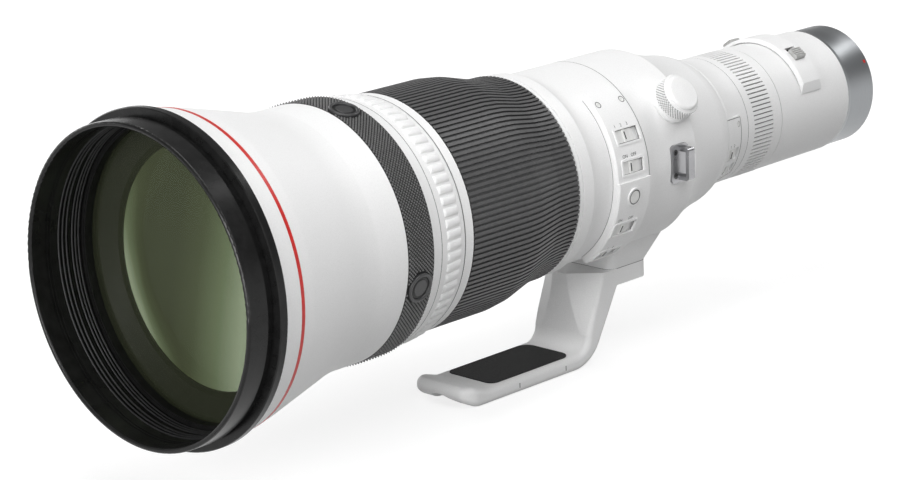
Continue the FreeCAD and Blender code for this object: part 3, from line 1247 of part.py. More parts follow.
def front_lens_cell():
    """Black cell in the bell that holds the two front lenses."""
    rear = SECOND_REAR - 2.6
    bore = FRONT_GLASS_R + FIT
    second_front = SECOND_REAR + SECOND_GLASS_THICK + 1.0
    second_bore = SECOND_GLASS_R + FIT
    return turned((rear, SECOND_GLASS_R - SECOND_LIP), (rear, bell_bore(rear) - GAP),
                  (GLASS_REAR - GAP, CELL_R - FIT),
                  (GLASS_REAR, CELL_R), (CELL_FRONT, CELL_R), (CELL_FRONT, bore), (GLASS_REAR, bore),
                  (GLASS_REAR, bore - CELL_LIP), (second_front, second_bore + 3),
                  (second_front, second_bore),
                  (SECOND_REAR, second_bore), (SECOND_REAR, SECOND_GLASS_R - SECOND_LIP))


def front_element():
    return lens_glass(GLASS_REAR, GLASS_FRONT, FRONT_GLASS_R, FRONT_GLASS_SAG, 1.5)


def second_element():
    front = SECOND_REAR + SECOND_GLASS_THICK
    return lens_glass(SECOND_REAR, front, SECOND_GLASS_R, SECOND_GLASS_SAG, 2.0)


def retaining_ring():
    rear = GLASS_FRONT + GAP
    return tube(rear, rear + RETAINER_LENGTH, FRONT_GLASS_R - RETAINER_WIDTH, FRONT_GLASS_R + FIT / 2)


# Groups inside the body

FOCUS_STATION = (WALL_REAR + WALL_THICK + ROD_FRONT) / 2


def focus_guide_rods():
    return [pin_along(WALL_REAR, ROD_FRONT + WALL_THICK, ROD_R, angle,
                      ROD_CIRCLE_R) for angle in ROD_ANGLES]


def focus_cell():
    """Moving cell of the focusing lenses, with two long bearings on the rods."""
    half = FOCUS_GLASS_THICK / 2
    rear = FOCUS_STATION - half
    front = FOCUS_STATION + half
    outer = FOCUS_GLASS_R + 3.5
    shape = turned((rear - 2, FOCUS_GLASS_R - 1.5), (rear - 2, outer), (front + 3, outer),
                   (front + 3, FOCUS_GLASS_R + FIT),
                   (rear, FOCUS_GLASS_R + FIT), (rear, FOCUS_GLASS_R - 1.5))
    for angle in ROD_ANGLES:
        sleeve = pin_along(rear - 6, front + 6, ROD_R + 1.6, angle, ROD_CIRCLE_R)
        arm = at_angle(block(rear - 2, front + 3, -3, 3, outer - 1, ROD_CIRCLE_R), angle)
        shape = shape.fuse([sleeve, arm])
    for angle in ROD_ANGLES:
        shape = shape.cut(pin_along(rear - 7, front + 7, ROD_R + SLIDE_FIT, angle, ROD_CIRCLE_R))
    return shape


def focus_element():
    half = FOCUS_GLASS_THICK / 2
    return lens_glass(FOCUS_STATION - half, FOCUS_STATION + half, FOCUS_GLASS_R, -2.0, 1.5)


def focus_motor():
    """Ring motor behind the front rod wall."""
    front = ROD_FRONT + WALL_THICK + 8
    return tube(ROD_FRONT + WALL_THICK, front, ROD_CIRCLE_R - 1, BODY_FRONT_BORE_R - FIT)


def iris_unit():
    """Closed iris housing against the rear rod wall, its blades stowed inside."""
    return tube(WALL_REAR - 9, WALL_REAR, IRIS_BORE_R, BODY_BORE_R - 0.5 - FIT)


STABILISER_REAR = BODY_REAR - 24.0
CARRIER_REACH = STABILISER_GLASS_R + 5.0


def stabiliser_frame():
    """Frame in the rear cone with a recess that the lens carrier floats in."""
    outer = LAND_R - TUBE_WALL - 0.6 - FIT
    rear = STABILISER_REAR
    pocket = CARRIER_REACH + STABILISER_TRAVEL + GAP
    hole = STABILISER_GLASS_R - 2 + STABILISER_TRAVEL
    return turned((rear, hole), (rear, outer), (rear + 10, outer), (rear + 10, pocket),
                  (rear + 2, pocket),
                  (rear + 2, hole))


def stabiliser_carrier():
    """Carrier that shifts across the axis in the frame's recess."""
    rear = STABILISER_REAR + 2 + GAP
    return turned((rear, STABILISER_GLASS_R - 1.5), (rear, CARRIER_REACH), (rear + 7, CARRIER_REACH),
                  (rear + 7, STABILISER_GLASS_R + FIT), (rear + 1.2, STABILISER_GLASS_R + FIT),
                  (rear + 1.2, STABILISER_GLASS_R - 1.5))


def stabiliser_element():
    rear = STABILISER_REAR + 2 + GAP + 1.2
    return lens_glass(rear, rear + STABILISER_GLASS_THICK, STABILISER_GLASS_R, 1.5, 1.5)


os.makedirs("parts", exist_ok=True)
save("mount_flange", mount_flange())
save("mount_screws", *mount_screws())
save("mount_skirt", mount_skirt())
save("mount_gasket", mount_gasket())
save("contact_block", contact_block())
save("contact_pins", *contact_pins())
save("rear_lens_cell", rear_lens_cell())
save("rear_element", lens_glass(REAR_GLASS_REAR, REAR_GLASS_FRONT, REAR_GLASS_R, 1.0, 1.0))
save("rear_barrel", rear_barrel())
save("filter_cover", filter_cover())
save("filter_holder", filter_holder())
save("filter_glass", filter_glass())
save("filter_release_left", release_button(1))
save("filter_release_right", release_button(-1))
save("control_ring", control_ring())
save("rear_cone", rear_cone())
save("rear_switch_panel", rear_switch_panel())
save("focus_mode_switch", rear_slider(0))
save("focus_range_switch", rear_slider(1))
save("collar_ring", collar_ring())
save("strap_lugs", strap_lug(1), strap_lug(-1))
save("strap_lug_screws", *strap_lug_screws())
save("lock_knob", lock_knob())
save("lock_screw", lock_screw())
save("foot", foot())
save("foot_pad", foot_pad())
save("foot_bolts", *foot_bolts())
save("main_body", main_body())
save("main_switch_panel", main_switch_panel())
save("panel_screws", *panel_screws())
for window in WINDOWS:
    save(window[0], panel_slider(window))
save("set_button", set_button())
save("focus_ring_sleeve", focus_ring_sleeve())
save("focus_ring_rubber", focus_ring_rubber())
save("ring_carrier", ring_carrier())
save("playback_ring", playback_ring())
save("front_bell", front_bell())
save("red_line_ring", red_line_ring())
save("knurled_grip", knurled_grip())
save("button_bezels", *button_bezels())
for number, button_angle in enumerate(BUTTON_ANGLES, 1):
    save("function_button_%d" % number, function_button(button_angle))
save("front_rim", front_rim())
save("front_lens_cell", front_lens_cell())
save("front_element", front_element())
save("second_element", second_element())
save("retaining_ring", retaining_ring())
save("focus_guide_rods", *focus_guide_rods())
save("focus_cell", focus_cell())
save("focus_element", focus_element())
save("focus_motor", focus_motor())
save("iris_unit", iris_unit())
save("stabiliser_frame", stabiliser_frame())
save("stabiliser_carrier", stabiliser_carrier())
save("stabiliser_element", stabiliser_element())
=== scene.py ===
import json
import math
import bpy
import bmesh
from mathutils import Matrix, Vector


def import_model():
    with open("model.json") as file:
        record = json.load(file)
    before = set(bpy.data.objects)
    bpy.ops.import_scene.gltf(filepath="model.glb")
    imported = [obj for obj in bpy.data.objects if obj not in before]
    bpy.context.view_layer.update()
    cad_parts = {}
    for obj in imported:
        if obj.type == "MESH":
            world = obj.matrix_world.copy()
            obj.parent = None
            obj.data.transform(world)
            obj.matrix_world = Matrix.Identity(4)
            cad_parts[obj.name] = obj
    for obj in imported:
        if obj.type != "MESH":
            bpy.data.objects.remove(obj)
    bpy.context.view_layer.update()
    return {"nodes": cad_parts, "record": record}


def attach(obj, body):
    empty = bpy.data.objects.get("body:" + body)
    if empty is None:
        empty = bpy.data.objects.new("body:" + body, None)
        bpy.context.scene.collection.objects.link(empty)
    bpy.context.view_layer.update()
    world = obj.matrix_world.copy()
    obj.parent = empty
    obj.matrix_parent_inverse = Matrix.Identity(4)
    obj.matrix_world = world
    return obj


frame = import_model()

# Super telephoto lens, in the part's own frame: X along the optical axis towards the subject,
# Y to the lens's left, Z up. Blender's lengths are metres; the sizes below are millimetres, apart
# from those of the camera, the light and the second lens. A place on the lens is a station along
# X, an angle round X in degrees, counted from the top towards the left, and a radius.

MM = 0.001

# Camera that took the photograph, solved from the outlines of the rings
CAMERA_PLACE = Vector((1.3808, 1.0362, 0.3874))
CAMERA_AIM = Vector((0.3833, 0.0581, -0.0009))
CAMERA_ROLL = -2.1
CAMERA_LENS = 117.84
CAMERA_SENSOR = 36.0

# Red mark on the mount skirt: its place and its size
MOUNT_MARK = (3.0, 59.7, 34.8)
MOUNT_MARK_SIZE = (1.9, 1.9, 0.12)

# Radii of the main switch panel's upper and lower face
PANEL_UPPER_R = 56.0
PANEL_LOWER_R = 57.3

# Slider marks: name, body, station, angle and radius of the panel's face
SLIDER_MARKS = (("stabiliser_mode_mark", "stabiliser_mode_switch", 242.2, 65.6, PANEL_UPPER_R),
                ("stabiliser_power_mark", "stabiliser_power_switch", 242.9, 82.9, PANEL_UPPER_R),
                ("preset_mark", "preset_switch", 246.1, 118.2, PANEL_LOWER_R),
                ("preset_mode_mark", "preset_mode_switch", 246.1, 138.3, PANEL_LOWER_R),
                ("focus_mode_mark", "focus_mode_switch", 136.5, 106.75, 39.0))
SLIDER_MARK_LIFT = 0.14
SLIDER_MARK_SIZE = (0.75, 4.2, 0.16)

# Printed words beside the switches: text, station, angle, radius of the face and letter height
WORDS = (("1", 247.2, 59.6, PANEL_UPPER_R, 1.9), ("2", 242.4, 59.6, PANEL_UPPER_R, 1.9),
         ("3", 237.6, 59.6, PANEL_UPPER_R, 1.9), ("ON", 246.4, 76.6, PANEL_UPPER_R, 1.9),
         ("OFF", 239.6, 76.6, PANEL_UPPER_R, 1.9), ("ON", 250.0, 111.8, PANEL_LOWER_R, 1.7),
         ("OFF", 241.6, 111.8, PANEL_LOWER_R, 1.7), ("1", 247.6, 132.6, PANEL_LOWER_R, 1.7),
         ("2", 243.6, 132.6, PANEL_LOWER_R, 1.7), ("1", 138.4, 98.9, 39.26, 1.7),
         ("2", 134.8, 98.9, 38.66, 1.7))
FONT_PER_HEIGHT = 1.35
INK_LIFT = 0.04

# Lock knob: its axis, the radius of its band, the band's two heights over the lens's axis, how far the
# painted shade between the studs stands off the band, and its studs
KNOB_STATION = 196.6
KNOB_ANGLE = 54.5
KNOB_BAND_R = 11.5
KNOB_BAND = (56.4, 63.2)
KNOB_SHADE_LIFT = 0.04
KNOB_ROWS = 7
KNOB_STUDS = 44
STUD_SIZE = (0.9, 0.82, 0.82)

# Knurled grip: its cylinder, and its pyramids, which cover a share of the cell that each stands in
GRIP_REAR = 403.2
GRIP_LENGTH = 18.1
GRIP_R = 66.9
KNURL_PITCH = 2.1
KNURL_HEIGHT = 0.8
KNURL_COVER = 0.74
KNURL_SINK = 0.05
KNURL_CLEARANCE = 0.5

# Function buttons and their bezels: profiles are pairs of a radius and a height over the top
BUTTON_STATION = 412.25
BUTTON_ANGLES = (14.9, 104.9, 194.9, 284.9)
BUTTON_TOP = 67.3
BUTTON_GROOVE = ((5.5, 0.0), (5.5, 0.03), (4.3, 0.03))
BUTTON_MIDDLE = ((4.4, 0.0), (4.35, 0.25), (4.0, 0.4), (3.2, 0.42))
BEZEL_TOP = 67.6
BEZEL_R = 7.8
BEZEL_RIM = ((BEZEL_R, -0.5), (BEZEL_R, 0.1), (BEZEL_R - 0.3, 0.45), (BEZEL_R - 0.9, 0.62),
             (BEZEL_R - 1.5, 0.45), (BEZEL_R - 1.9, 0.0), (BEZEL_R - 1.95, -0.3))

# Ribs of the playback ring: their stations and base radii at the rear and front end, the angle of the
# first one's middle, their form, and the rows of points that it has, as shares of a rib's half
# width across and of its length along
RIB_COUNT = 72
RIB_ENDS = (380.9, 391.6)
RIB_BASE = (63.44, 64.49)
RIB_FIRST = 1.4
RIB_HALF_WIDTH = 2.2
RIB_HEIGHT = 1.15
RIB_SINK = 0.05
RIB_ROUND_END = 0.12
RIB_ACROSS = (-1.0, -0.86, -0.6, -0.3, 0.0, 0.3, 0.6, 0.86, 1.0)
RIB_ALONG = (0.0, 0.02, 0.06, 0.12, 0.5, 0.88, 0.94, 0.98, 1.0)

# Joint lines round the rings: station and radius
JOINTS = ((88.75, 35.62), (119.75, 36.2), (225.45, 53.0), (377.35, 63.06), (395.95, 64.95))
JOINT_WIDTH = 0.42
JOINT_LIFT = 0.04
JOINT_STEPS = 120

# Joint line round the pedestal under the collar, where the foot is bolted on
PEDESTAL_ENDS = (189.6, 221.6)
PEDESTAL_HALF = 20.5
PEDESTAL_CORNER = 6.0
PEDESTAL_Z = -61.0
PEDESTAL_LINE = 0.45
PEDESTAL_LIFT = 0.05
CORNER_STEPS = 8

# Switch panels: rear and front station, first and last angle, and the dark lines of painted shade along the
# gaps at their edges. The rear panel's face has a radius at its rear edge, which grows by a share of the way
# forward.
PANEL_EDGES = (228.4, 254.8, 38.2, 146.3)
PANEL_FOOT_R = 53.05
PANEL_SHADE_WIDTH = 0.3
PANEL_STEPS = 60
REAR_PANEL_EDGES = (127.4, 141.2, 76.2, 129.8)
REAR_PANEL_R = 37.46
REAR_PANEL_FLARE = 0.1655
REAR_PANEL_SHADE_WIDTH = 0.35
REAR_PANEL_STEPS = 12

# Painted shade in the gaps of the main panel's windows: rear and front station, first and last angle, and
# radius
WINDOWS = ((231.2, 249.0, 61.8, 69.4, 55.1), (233.0, 249.2, 79.3, 86.5, 55.1),
           (235.6, 252.6, 114.4, 122.0, 56.4), (235.6, 252.6, 135.0, 141.6, 56.4))
END_GAP = 0.6
SIDE_GAP = 0.3

# Gaps round the panel screws and the set button: places, and flat profiles
SCREWS = ((231.8, 45.4, 56.05), (250.2, 45.2, 56.05), (130.0, 81.6, 37.48))
SCREW_GAP = ((1.95, 0.0), (1.5, 0.0))
SET_BUTTON = (242.2, 99.3, 57.93)
SET_BUTTON_GAP = ((4.15, 0.0), (3.55, 0.0))

# Grooves of the control ring, whose first one lies a share of the pitch from the top
CONTROL_GROOVES = 90
CONTROL_FIRST = 0.8417
CONTROL_ENDS = (96.8, 113.9)
CONTROL_FLOOR_R = 35.64
CONTROL_HALF_WIDTH = 0.29

# Ridges of the light traps inside the front rim
TRAP_STATIONS = (507.0, 509.0, 511.0, 514.5, 517.0, 519.5)
TRAP_R = 77.6
TRAP_PROFILE = ((TRAP_R, -0.5), (TRAP_R - 0.6, 0.0), (TRAP_R, 0.5))
TRAP_STEPS = 160

# Foot: threads as station, radius and pitch, the ridge's profile as a rise and a share of the pitch,
# and the engraved marks on its sides
FLOOR_Z = -111.3
THREADS = ((300.7, 3.97, 1.5), (270.7, 2.55, 1.27))
THREAD_START = 0.6
THREAD_DEPTH = 6.0
THREAD_PROFILE = ((0.0, -0.32), (-0.45, 0.0), (0.0, 0.32))
THREAD_STEPS = 24
FOOT_MARKS = (259.2, 296.0)
FOOT_MARK_SIDE = 20.5
FOOT_MARK_Z = -107.0
FOOT_MARK_SIZE = (0.6, 0.06, 2.6)

# Points round a turned form, degrees between the points of an arc, and the fewest steps in an arc
LATHE_STEPS = 48
ARC_STEP = 3.0
FEWEST_ARC_STEPS = 6

# Reflections painted on the second lens, in metres from its axis. A crescent brightens between two
# radii and fades towards the lens's left and upwards. A pale field brightens towards the left.
CRESCENT_RADII = (0.043, 0.060)
CRESCENT_LEFT = (-0.050, -0.015)
CRESCENT_UP = (-0.010, 0.045)
CRESCENT_UPPER_SHARE = 0.25
FIELD_LEFT = (-0.020, 0.034)
FIELD_SLOPE = -0.25
CLOUD_SCALE = 14.0
CLOUD_SHARE = 0.06

# Stations, in metres, between which the bell's foremost end face lies, and a limit for which way a
# face looks
FOREMOST_FACE = (0.50505, 0.50515)
FACING_LIMIT = 0.004

# Scales of the noise in the grain of plastic and rubber, the paint's speckle and the rings that
# turning leaves, and how far a plain surface's roughness wanders
GRAIN_SCALE = 2600.0
SPECKLE_SCALE = 1900.0
TURNING_SCALE = 6000.0
ROUGHNESS_SPREAD = 0.1
ROUGHNESS_SCALE = 2.3

# Floor, world and lamps, with lengths in metres. The floor shows brighter away from its middle.
FLOOR_SIZE = 14.0
FLOOR_MIDDLE = 0.3
FLOOR_GLOW = (0.78, 1.0)
FLOOR_GLOW_REACH = (0.45, 1.4)
SKY_LIGHT = 0.08
SKY_SEEN = 1.0
CEILING_SEEN = 0.30
CEILING_RISE = (0.05, 0.25)
SOFTBOX_AIM = Vector((0.28, 0.0, 0.0))

# Softboxes: name, place, width, height and power in watts
SOFTBOXES = (("top_softbox", (0.40, -0.05, 1.6), 1.3, 0.8, 14.0),
             ("left_softbox", (0.65, 1.05, 1.1), 0.8, 0.8, 9.2),
             ("low_softbox", (0.85, 1.10, 0.0), 0.6, 0.3, 1.8),
             ("right_softbox", (0.20, -1.30, 0.55), 0.8, 0.6, 6.0),
             ("rear_softbox", (-1.00, 0.38, 1.25), 0.45, 0.45, 6.5),
             ("front_softbox", (1.80, 0.25, 0.30), 0.7, 0.7, 19.0))


# Materials

class Nodes:
    """Short ways to add and link the nodes of one shader tree."""

    def __init__(self, tree):
        self.tree = tree

    def feed(self, socket, value):
        """Link a socket to another one, or give it a plain value."""
        if isinstance(value, bpy.types.NodeSocket):
            self.tree.links.new(value, socket)
        else:
            socket.default_value = value

    def add(self, kind, **values):
        """New node with its inputs fed; an underscore in a name stands for a space."""
        node = self.tree.nodes.new("ShaderNode" + kind)
        for name, value in values.items():
            self.feed(node.inputs[name.replace("_", " ")], value)
        return node

    def ramp(self, factor, low, high, start=0.3, end=0.7):
        """Goes from low to high while the factor goes from start to end."""
        node = self.add("MapRange", Value=factor, From_Min=start, From_Max=end, To_Min=low, To_Max=high)
        return node.outputs["Result"]

    def maths(self, operation, *values):
        """Result of a mathematical operation on plain values or sockets."""
        node = self.add("Math")
        node.operation = operation
        for socket, value in zip(node.inputs, values):
            self.feed(socket, value)
        return node.outputs["Value"]

    def distance(self, first, second):
        """Length of the vector that has these two coordinates."""
        squares = [self.maths("MULTIPLY", value, value) for value in (first, second)]
        return self.maths("SQRT", self.maths("ADD", *squares))

    def split(self, vector):
        """The three coordinates of a vector."""
        return tuple(self.add("SeparateXYZ", Vector=vector).outputs)

    def seen_only(self):
        """1 for what the camera, a reflection or clear glass shows, and 0 otherwise."""
        rays = self.add("LightPath").outputs
        total = rays["Is Camera Ray"]
        for name in ("Is Glossy Ray", "Is Transmission Ray"):
            total = self.maths("MAXIMUM", total, rays[name])
        return total


class Paint(Nodes):
    """Procedural material on the Principled shader."""

    def __init__(self, name):
        self.material = bpy.data.materials.new(name)
        self.material.use_nodes = True
        super().__init__(self.material.node_tree)
        self.shader = self.tree.nodes["Principled BSDF"]
        self.place = self.add("TexCoord").outputs["Object"]

    def set(self, **values):
        """Plain values or sockets for the shader's own inputs."""
        for name, value in values.items():
            self.feed(self.shader.inputs[name.replace("_", " ")], value)
        return self

    def noise(self, scale, detail=3.0):
        return self.add("TexNoise", Vector=self.place, Scale=scale, Detail=detail).outputs["Fac"]

    def colours(self, factor, *stops):
        """Colour ramp over stops of (place, (red, green, blue))."""
        node = self.add("ValToRGB", Fac=factor)
        band = node.color_ramp
        while len(band.elements) < len(stops):
            band.elements.new(0.5)
        for element, (place, colour) in zip(band.elements, stops):
            element.position = place
            element.color = (*colour, 1.0)
        return node.outputs["Color"]

    def bump(self, height, distance, strength=1.0):
        node = self.add("Bump", Height=height, Distance=distance, Strength=strength)
        return self.set(Normal=node.outputs["Normal"])

    def outward(self):
        """1 on end faces and on faces that look away from the axis, but 0 on the foremost end face.

        The measure is the radius on an outer face, less than zero on an inner face and zero on an
        end face, so its limit lies just under zero, and just over it at the foremost face.
        """
        x, y, z = self.split(self.place)
        _, out_y, out_z = self.split(self.add("TexCoord").outputs["Normal"])
        along = self.maths("ADD", self.maths("MULTIPLY", y, out_y), self.maths("MULTIPLY", z, out_z))
        return self.maths("GREATER_THAN", along, self.ramp(x, -FACING_LIMIT, FACING_LIMIT, *FOREMOST_FACE))


def grey(value):
    """Colour with three equal parts."""
    return value, value, value


def plain(name, dark, light, scale, roughness, grain=0.0, **values):
    """Surface that wanders between two close colours, with a fine grain of a depth in millimetres."""
    paint = Paint(name)
    paint.set(Base_Color=paint.colours(paint.noise(scale), (0.35, dark), (0.65, light)),
              Roughness=paint.ramp(paint.noise(scale * ROUGHNESS_SCALE), roughness * (1 - ROUGHNESS_SPREAD),
                                   roughness * (1 + ROUGHNESS_SPREAD)))
    if grain:
        paint.bump(paint.noise(GRAIN_SCALE, 2.0), grain * MM)
    return paint.set(**values).material


def white_paint(name="white_paint", black_inside=False):
    """Off-white hammered satin paint with a faint speckle; a tube can be black on its inner faces."""
    paint = Paint(name)
    speckle = paint.noise(SPECKLE_SCALE, 2.0)
    colour = paint.colours(speckle, (0.30, grey(0.79)), (0.62, grey(0.84)))
    if black_inside:
        mix = paint.tree.nodes.new("ShaderNodeMix")
        mix.data_type = "RGBA"
        for socket, value in (("Factor", paint.outward()), ("A", (*grey(0.004), 1.0)), ("B", colour)):
            paint.feed(mix.inputs[socket], value)
        colour = mix.outputs["Result"]
    paint.set(Base_Color=colour, Roughness=paint.ramp(paint.noise(240.0), 0.46, 0.56))
    return paint.bump(speckle, 0.02 * MM, 0.5).set(Specular_IOR_Level=0.38).material


def turned_metal(name, dark, light, roughness, anisotropy):
    """Bare metal with fine rings left by turning."""
    paint = Paint(name)
    wave = paint.tree.nodes.new("ShaderNodeTexNoise")
    wave.noise_dimensions = "1D"
    for socket, value in (("W", paint.split(paint.place)[0]), ("Scale", TURNING_SCALE), ("Detail", 4.0)):
        paint.feed(wave.inputs[socket], value)
    rings = wave.outputs["Fac"]
    paint.set(Base_Color=paint.colours(rings, (0.3, dark), (0.7, light)),
              Roughness=paint.ramp(rings, roughness * 0.8, roughness * 1.2))
    return paint.bump(rings, 0.01 * MM, 0.5).set(Metallic=1.0, Anisotropic=anisotropy).material


def front_glass():
    """Front lens with a green coating, mostly see-through by its alpha."""
    paint = Paint("front_glass")
    tint = paint.colours(paint.noise(8.0), (0.3, (0.040, 0.046, 0.026)), (0.7, (0.048, 0.054, 0.032)))
    paint.set(Base_Color=tint, Roughness=paint.ramp(paint.noise(20.0), 0.0, 0.004))
    return paint.set(Alpha=0.3, IOR=1.2, Specular_Tint=(0.62, 1.0, 0.5, 1.0)).material


def deep_glass():
    """Second lens: an olive coating with painted reflections that make it light along its far lower edge and
    towards the lens's left.
    """
    paint = Paint("deep_glass")
    _, y, z = paint.split(paint.place)
    # Painted reflections: a bright crescent near the rim, fading towards the lens's left and upwards, and a
    # light field towards the lens's left
    crescent = paint.ramp(paint.distance(y, z), 0.0, 1.0, *CRESCENT_RADII)
    crescent = paint.maths("MULTIPLY", crescent, paint.ramp(y, 1.0, 0.0, *CRESCENT_LEFT))
    crescent = paint.maths("MULTIPLY", crescent, paint.ramp(z, 1.0, CRESCENT_UPPER_SHARE, *CRESCENT_UP))
    slanted = paint.maths("ADD", y, paint.maths("MULTIPLY", z, FIELD_SLOPE))
    painted_reflection = paint.maths("MAXIMUM", crescent, paint.ramp(slanted, 0.0, 1.0, *FIELD_LEFT))
    cloud = paint.maths("MULTIPLY", paint.noise(CLOUD_SCALE), CLOUD_SHARE)
    tone = paint.colours(paint.maths("ADD", painted_reflection, cloud), (0.0, (0.10, 0.115, 0.065)),
                         (0.35, (0.16, 0.19, 0.10)), (0.7, (0.38, 0.48, 0.27)), (1.0, (0.84, 1.0, 0.68)))
    paint.set(Base_Color=tone, Roughness=paint.ramp(paint.noise(40.0), 0.05, 0.08))
    return paint.set(IOR=1.15, Specular_Tint=(0.80, 1.0, 0.50, 1.0)).material


def inner_glass():
    """Coated glass inside, seen only when the lens is taken apart or from the mount."""
    paint = Paint("inner_glass")
    tint = paint.colours(paint.noise(25.0), (0.3, (0.50, 0.46, 0.60)), (0.7, (0.60, 0.55, 0.42)))
    paint.set(Base_Color=tint, Roughness=paint.ramp(paint.noise(40.0), 0.01, 0.04))
    return paint.set(Transmission_Weight=0.9, IOR=1.5).material


# A plain surface has a name, a darker and a lighter colour, the scale of its noise, a roughness and
# the depth of its grain
WHITE = white_paint()
SWITCH = plain("switch_white", (0.72, 0.72, 0.71), (0.78, 0.78, 0.77), 300.0, 0.42, 0.01)
KEY = plain("key_grey", (0.40, 0.40, 0.39), (0.48, 0.48, 0.47), 300.0, 0.42, 0.01)
BLACK = plain("black_paint", grey(0.007), grey(0.011), 180.0, 0.24, 0.004, Specular_IOR_Level=0.20)
INNER = plain("inner_black", grey(0.005), grey(0.009), 200.0, 0.35, 0.004, Specular_IOR_Level=0.30)
PLASTIC = plain("black_plastic", (0.010, 0.010, 0.011), (0.018, 0.018, 0.019), 300.0, 0.5, 0.02)
BUTTON = plain("button_grey", (0.026, 0.026, 0.027), (0.034, 0.034, 0.035), 400.0, 0.38, 0.01)
RIBBED = plain("ribbed_rubber", (0.058, 0.058, 0.059), (0.072, 0.072, 0.073), 350.0, 0.50, 0.02)
PAD = plain("pad_rubber", grey(0.004), grey(0.014), 900.0, 0.55, 0.12, Specular_IOR_Level=0.15)
# Darker than the ribbed rubber: painted shade in the valleys between the grip's pyramids
GRIP = plain("grip_rubber", grey(0.010), grey(0.016), 500.0, 0.6, 0.02, Specular_IOR_Level=0.2)
# Lighter grey of the grip's pyramids: a painted highlight
GRIP_TIP_HIGHLIGHT = plain("grip_tip_highlight", grey(0.10), grey(0.13), 500.0, 0.45)
# Dark lines: joints and engraved marks, and painted shade in gaps and grooves
SEAM = plain("seam_shade", grey(0.13), grey(0.17), 400.0, 0.7)
SKIRT = turned_metal("bare_metal", (0.22, 0.23, 0.24), (0.36, 0.37, 0.38), 0.36, 0.4)
CHROME = turned_metal("bayonet_chrome", (0.62, 0.62, 0.63), (0.78, 0.78, 0.79), 0.16, 0.2)
STEEL = plain("steel", (0.34, 0.34, 0.35), (0.38, 0.38, 0.39), 120.0, 0.30, 0.0, Metallic=1.0)
DARK_STEEL = plain("dark_steel", grey(0.08), grey(0.14), 500.0, 0.4, 0.004, Metallic=1.0)
GOLD = plain("contact_gold", (0.62, 0.42, 0.14), (0.74, 0.52, 0.20), 500.0, 0.25, 0.002, Metallic=1.0)
RED = plain("red_enamel", (0.48, 0.012, 0.010), (0.56, 0.018, 0.014), 300.0, 0.35, 0.004)
INK = plain("grey_ink", grey(0.02), grey(0.035), 500.0, 0.6)
# Grey of painted shade, laid between the knob's studs
SHADE = plain("window_shade", grey(0.30), grey(0.38), 400.0, 0.5)
BY_SLOT = {"white_paint": WHITE, "black_paint": BLACK, "inner_black": INNER, "bare_metal": SKIRT,
           "steel": STEEL, "bayonet_chrome": CHROME, "dark_steel": DARK_STEEL, "grip_rubber": RIBBED,
           "pad_rubber": PAD, "black_plastic": PLASTIC, "switch_white": SWITCH, "button_grey": BUTTON,
           "red_enamel": RED, "contact_gold": GOLD, "front_glass": front_glass(),
           "inner_glass": inner_glass()}
TUBE_WHITE = white_paint("tube_white", black_inside=True)
BY_NODE = {"knurled_grip": GRIP, "second_element": deep_glass(), "panel_screws": SWITCH,
           "filter_release_left": KEY, "filter_release_right": KEY, "front_bell": TUBE_WHITE,
           "main_body": TUBE_WHITE, "rear_cone": TUBE_WHITE, "rear_barrel": TUBE_WHITE}
ROUND_GLASS = ("front_element", "second_element")


def paint_nodes():
    """Material for each CAD node, by its own name or else by its slot in the record."""
    for entry in frame["record"]["subparts"]:
        name = entry["node"]
        mesh = frame["nodes"][name].data
        mesh.materials.clear()
        mesh.materials.append(BY_NODE.get(name) or BY_SLOT[entry["material_slot"]])
        if name in ROUND_GLASS:
            mesh.shade_smooth()


# Places

def spot(station, angle, radius):
    """Point on the lens, in metres."""
    a = math.radians(angle)
    return Vector((station, radius * math.sin(a), radius * math.cos(a))) * MM


def shift(x, y, z):
    """Matrix that moves by millimetres."""
    return Matrix.Translation(Vector((x, y, z)) * MM)


def upright_at(station, angle, radius):
    """Matrix whose X runs along the lens, whose Z points out of it and whose Y runs round it."""
    turn = Matrix.Rotation(math.radians(-angle), 4, "X")
    return Matrix.Translation(spot(station, angle, radius)) @ turn


def steps_between(first, last, steps):
    """Evenly spaced values from the first to the last."""
    return [first + (last - first) * k / steps for k in range(steps + 1)]


# Forms: functions that fill a bmesh, or that give such a function

def skin(build, rows, ring=False, loop=False):
    """Faces between rows of points; a ring closes each row, a loop joins the last row to the first."""
    rows = [[build.verts.new(point) for point in row] for row in rows]
    if loop:
        rows.append(rows[0])
    count = len(rows[0])
    for one, two in zip(rows, rows[1:]):
        for k in range(count if ring else count - 1):
            j = (k + 1) % count
            build.faces.new((one[k], one[j], two[j], two[k]))
    return rows


def ribbon(build, points, width, loop=False):
    """Flat strip with a row of points in its middle, as wide along the lens as it says."""
    half = Vector((width, 0, 0)) * MM / 2
    skin(build, [(point - half, point + half) for point in points], loop=loop)


def arc_strip(build, rear, front, first, last, radius):
    """Strip that covers a range of stations and angles at one radius."""
    steps = max(FEWEST_ARC_STEPS, round((last - first) / ARC_STEP))
    points = [spot((rear + front) / 2, angle, radius) for angle in steps_between(first, last, steps)]
    ribbon(build, points, front - rear)


def boxes(places, size):
    """Form with a box of one size in millimetres at each matrix."""
    scale = Matrix.Diagonal((*[side * MM for side in size], 1.0))

    def fill(build):
        for place in places:
            bmesh.ops.create_cube(build, size=1.0, matrix=place @ scale)
    return fill


def circle(place, radius, height, steps):
    """Points round the Z axis of a matrix, in metres."""
    turns = [2 * math.pi * i / steps for i in range(steps)]
    return [place @ (Vector((radius * math.cos(a), radius * math.sin(a), height)) * MM) for a in turns]


def lathes(places, profile, steps=LATHE_STEPS, closed=False):
    """Form turned round the Z axis of each matrix from pairs of a radius and a height."""
    def fill(build):
        for place in places:
            rows = skin(build, [circle(place, *pair, steps) for pair in profile], ring=True)
            if closed:
                build.faces.new(rows[-1])
    return fill


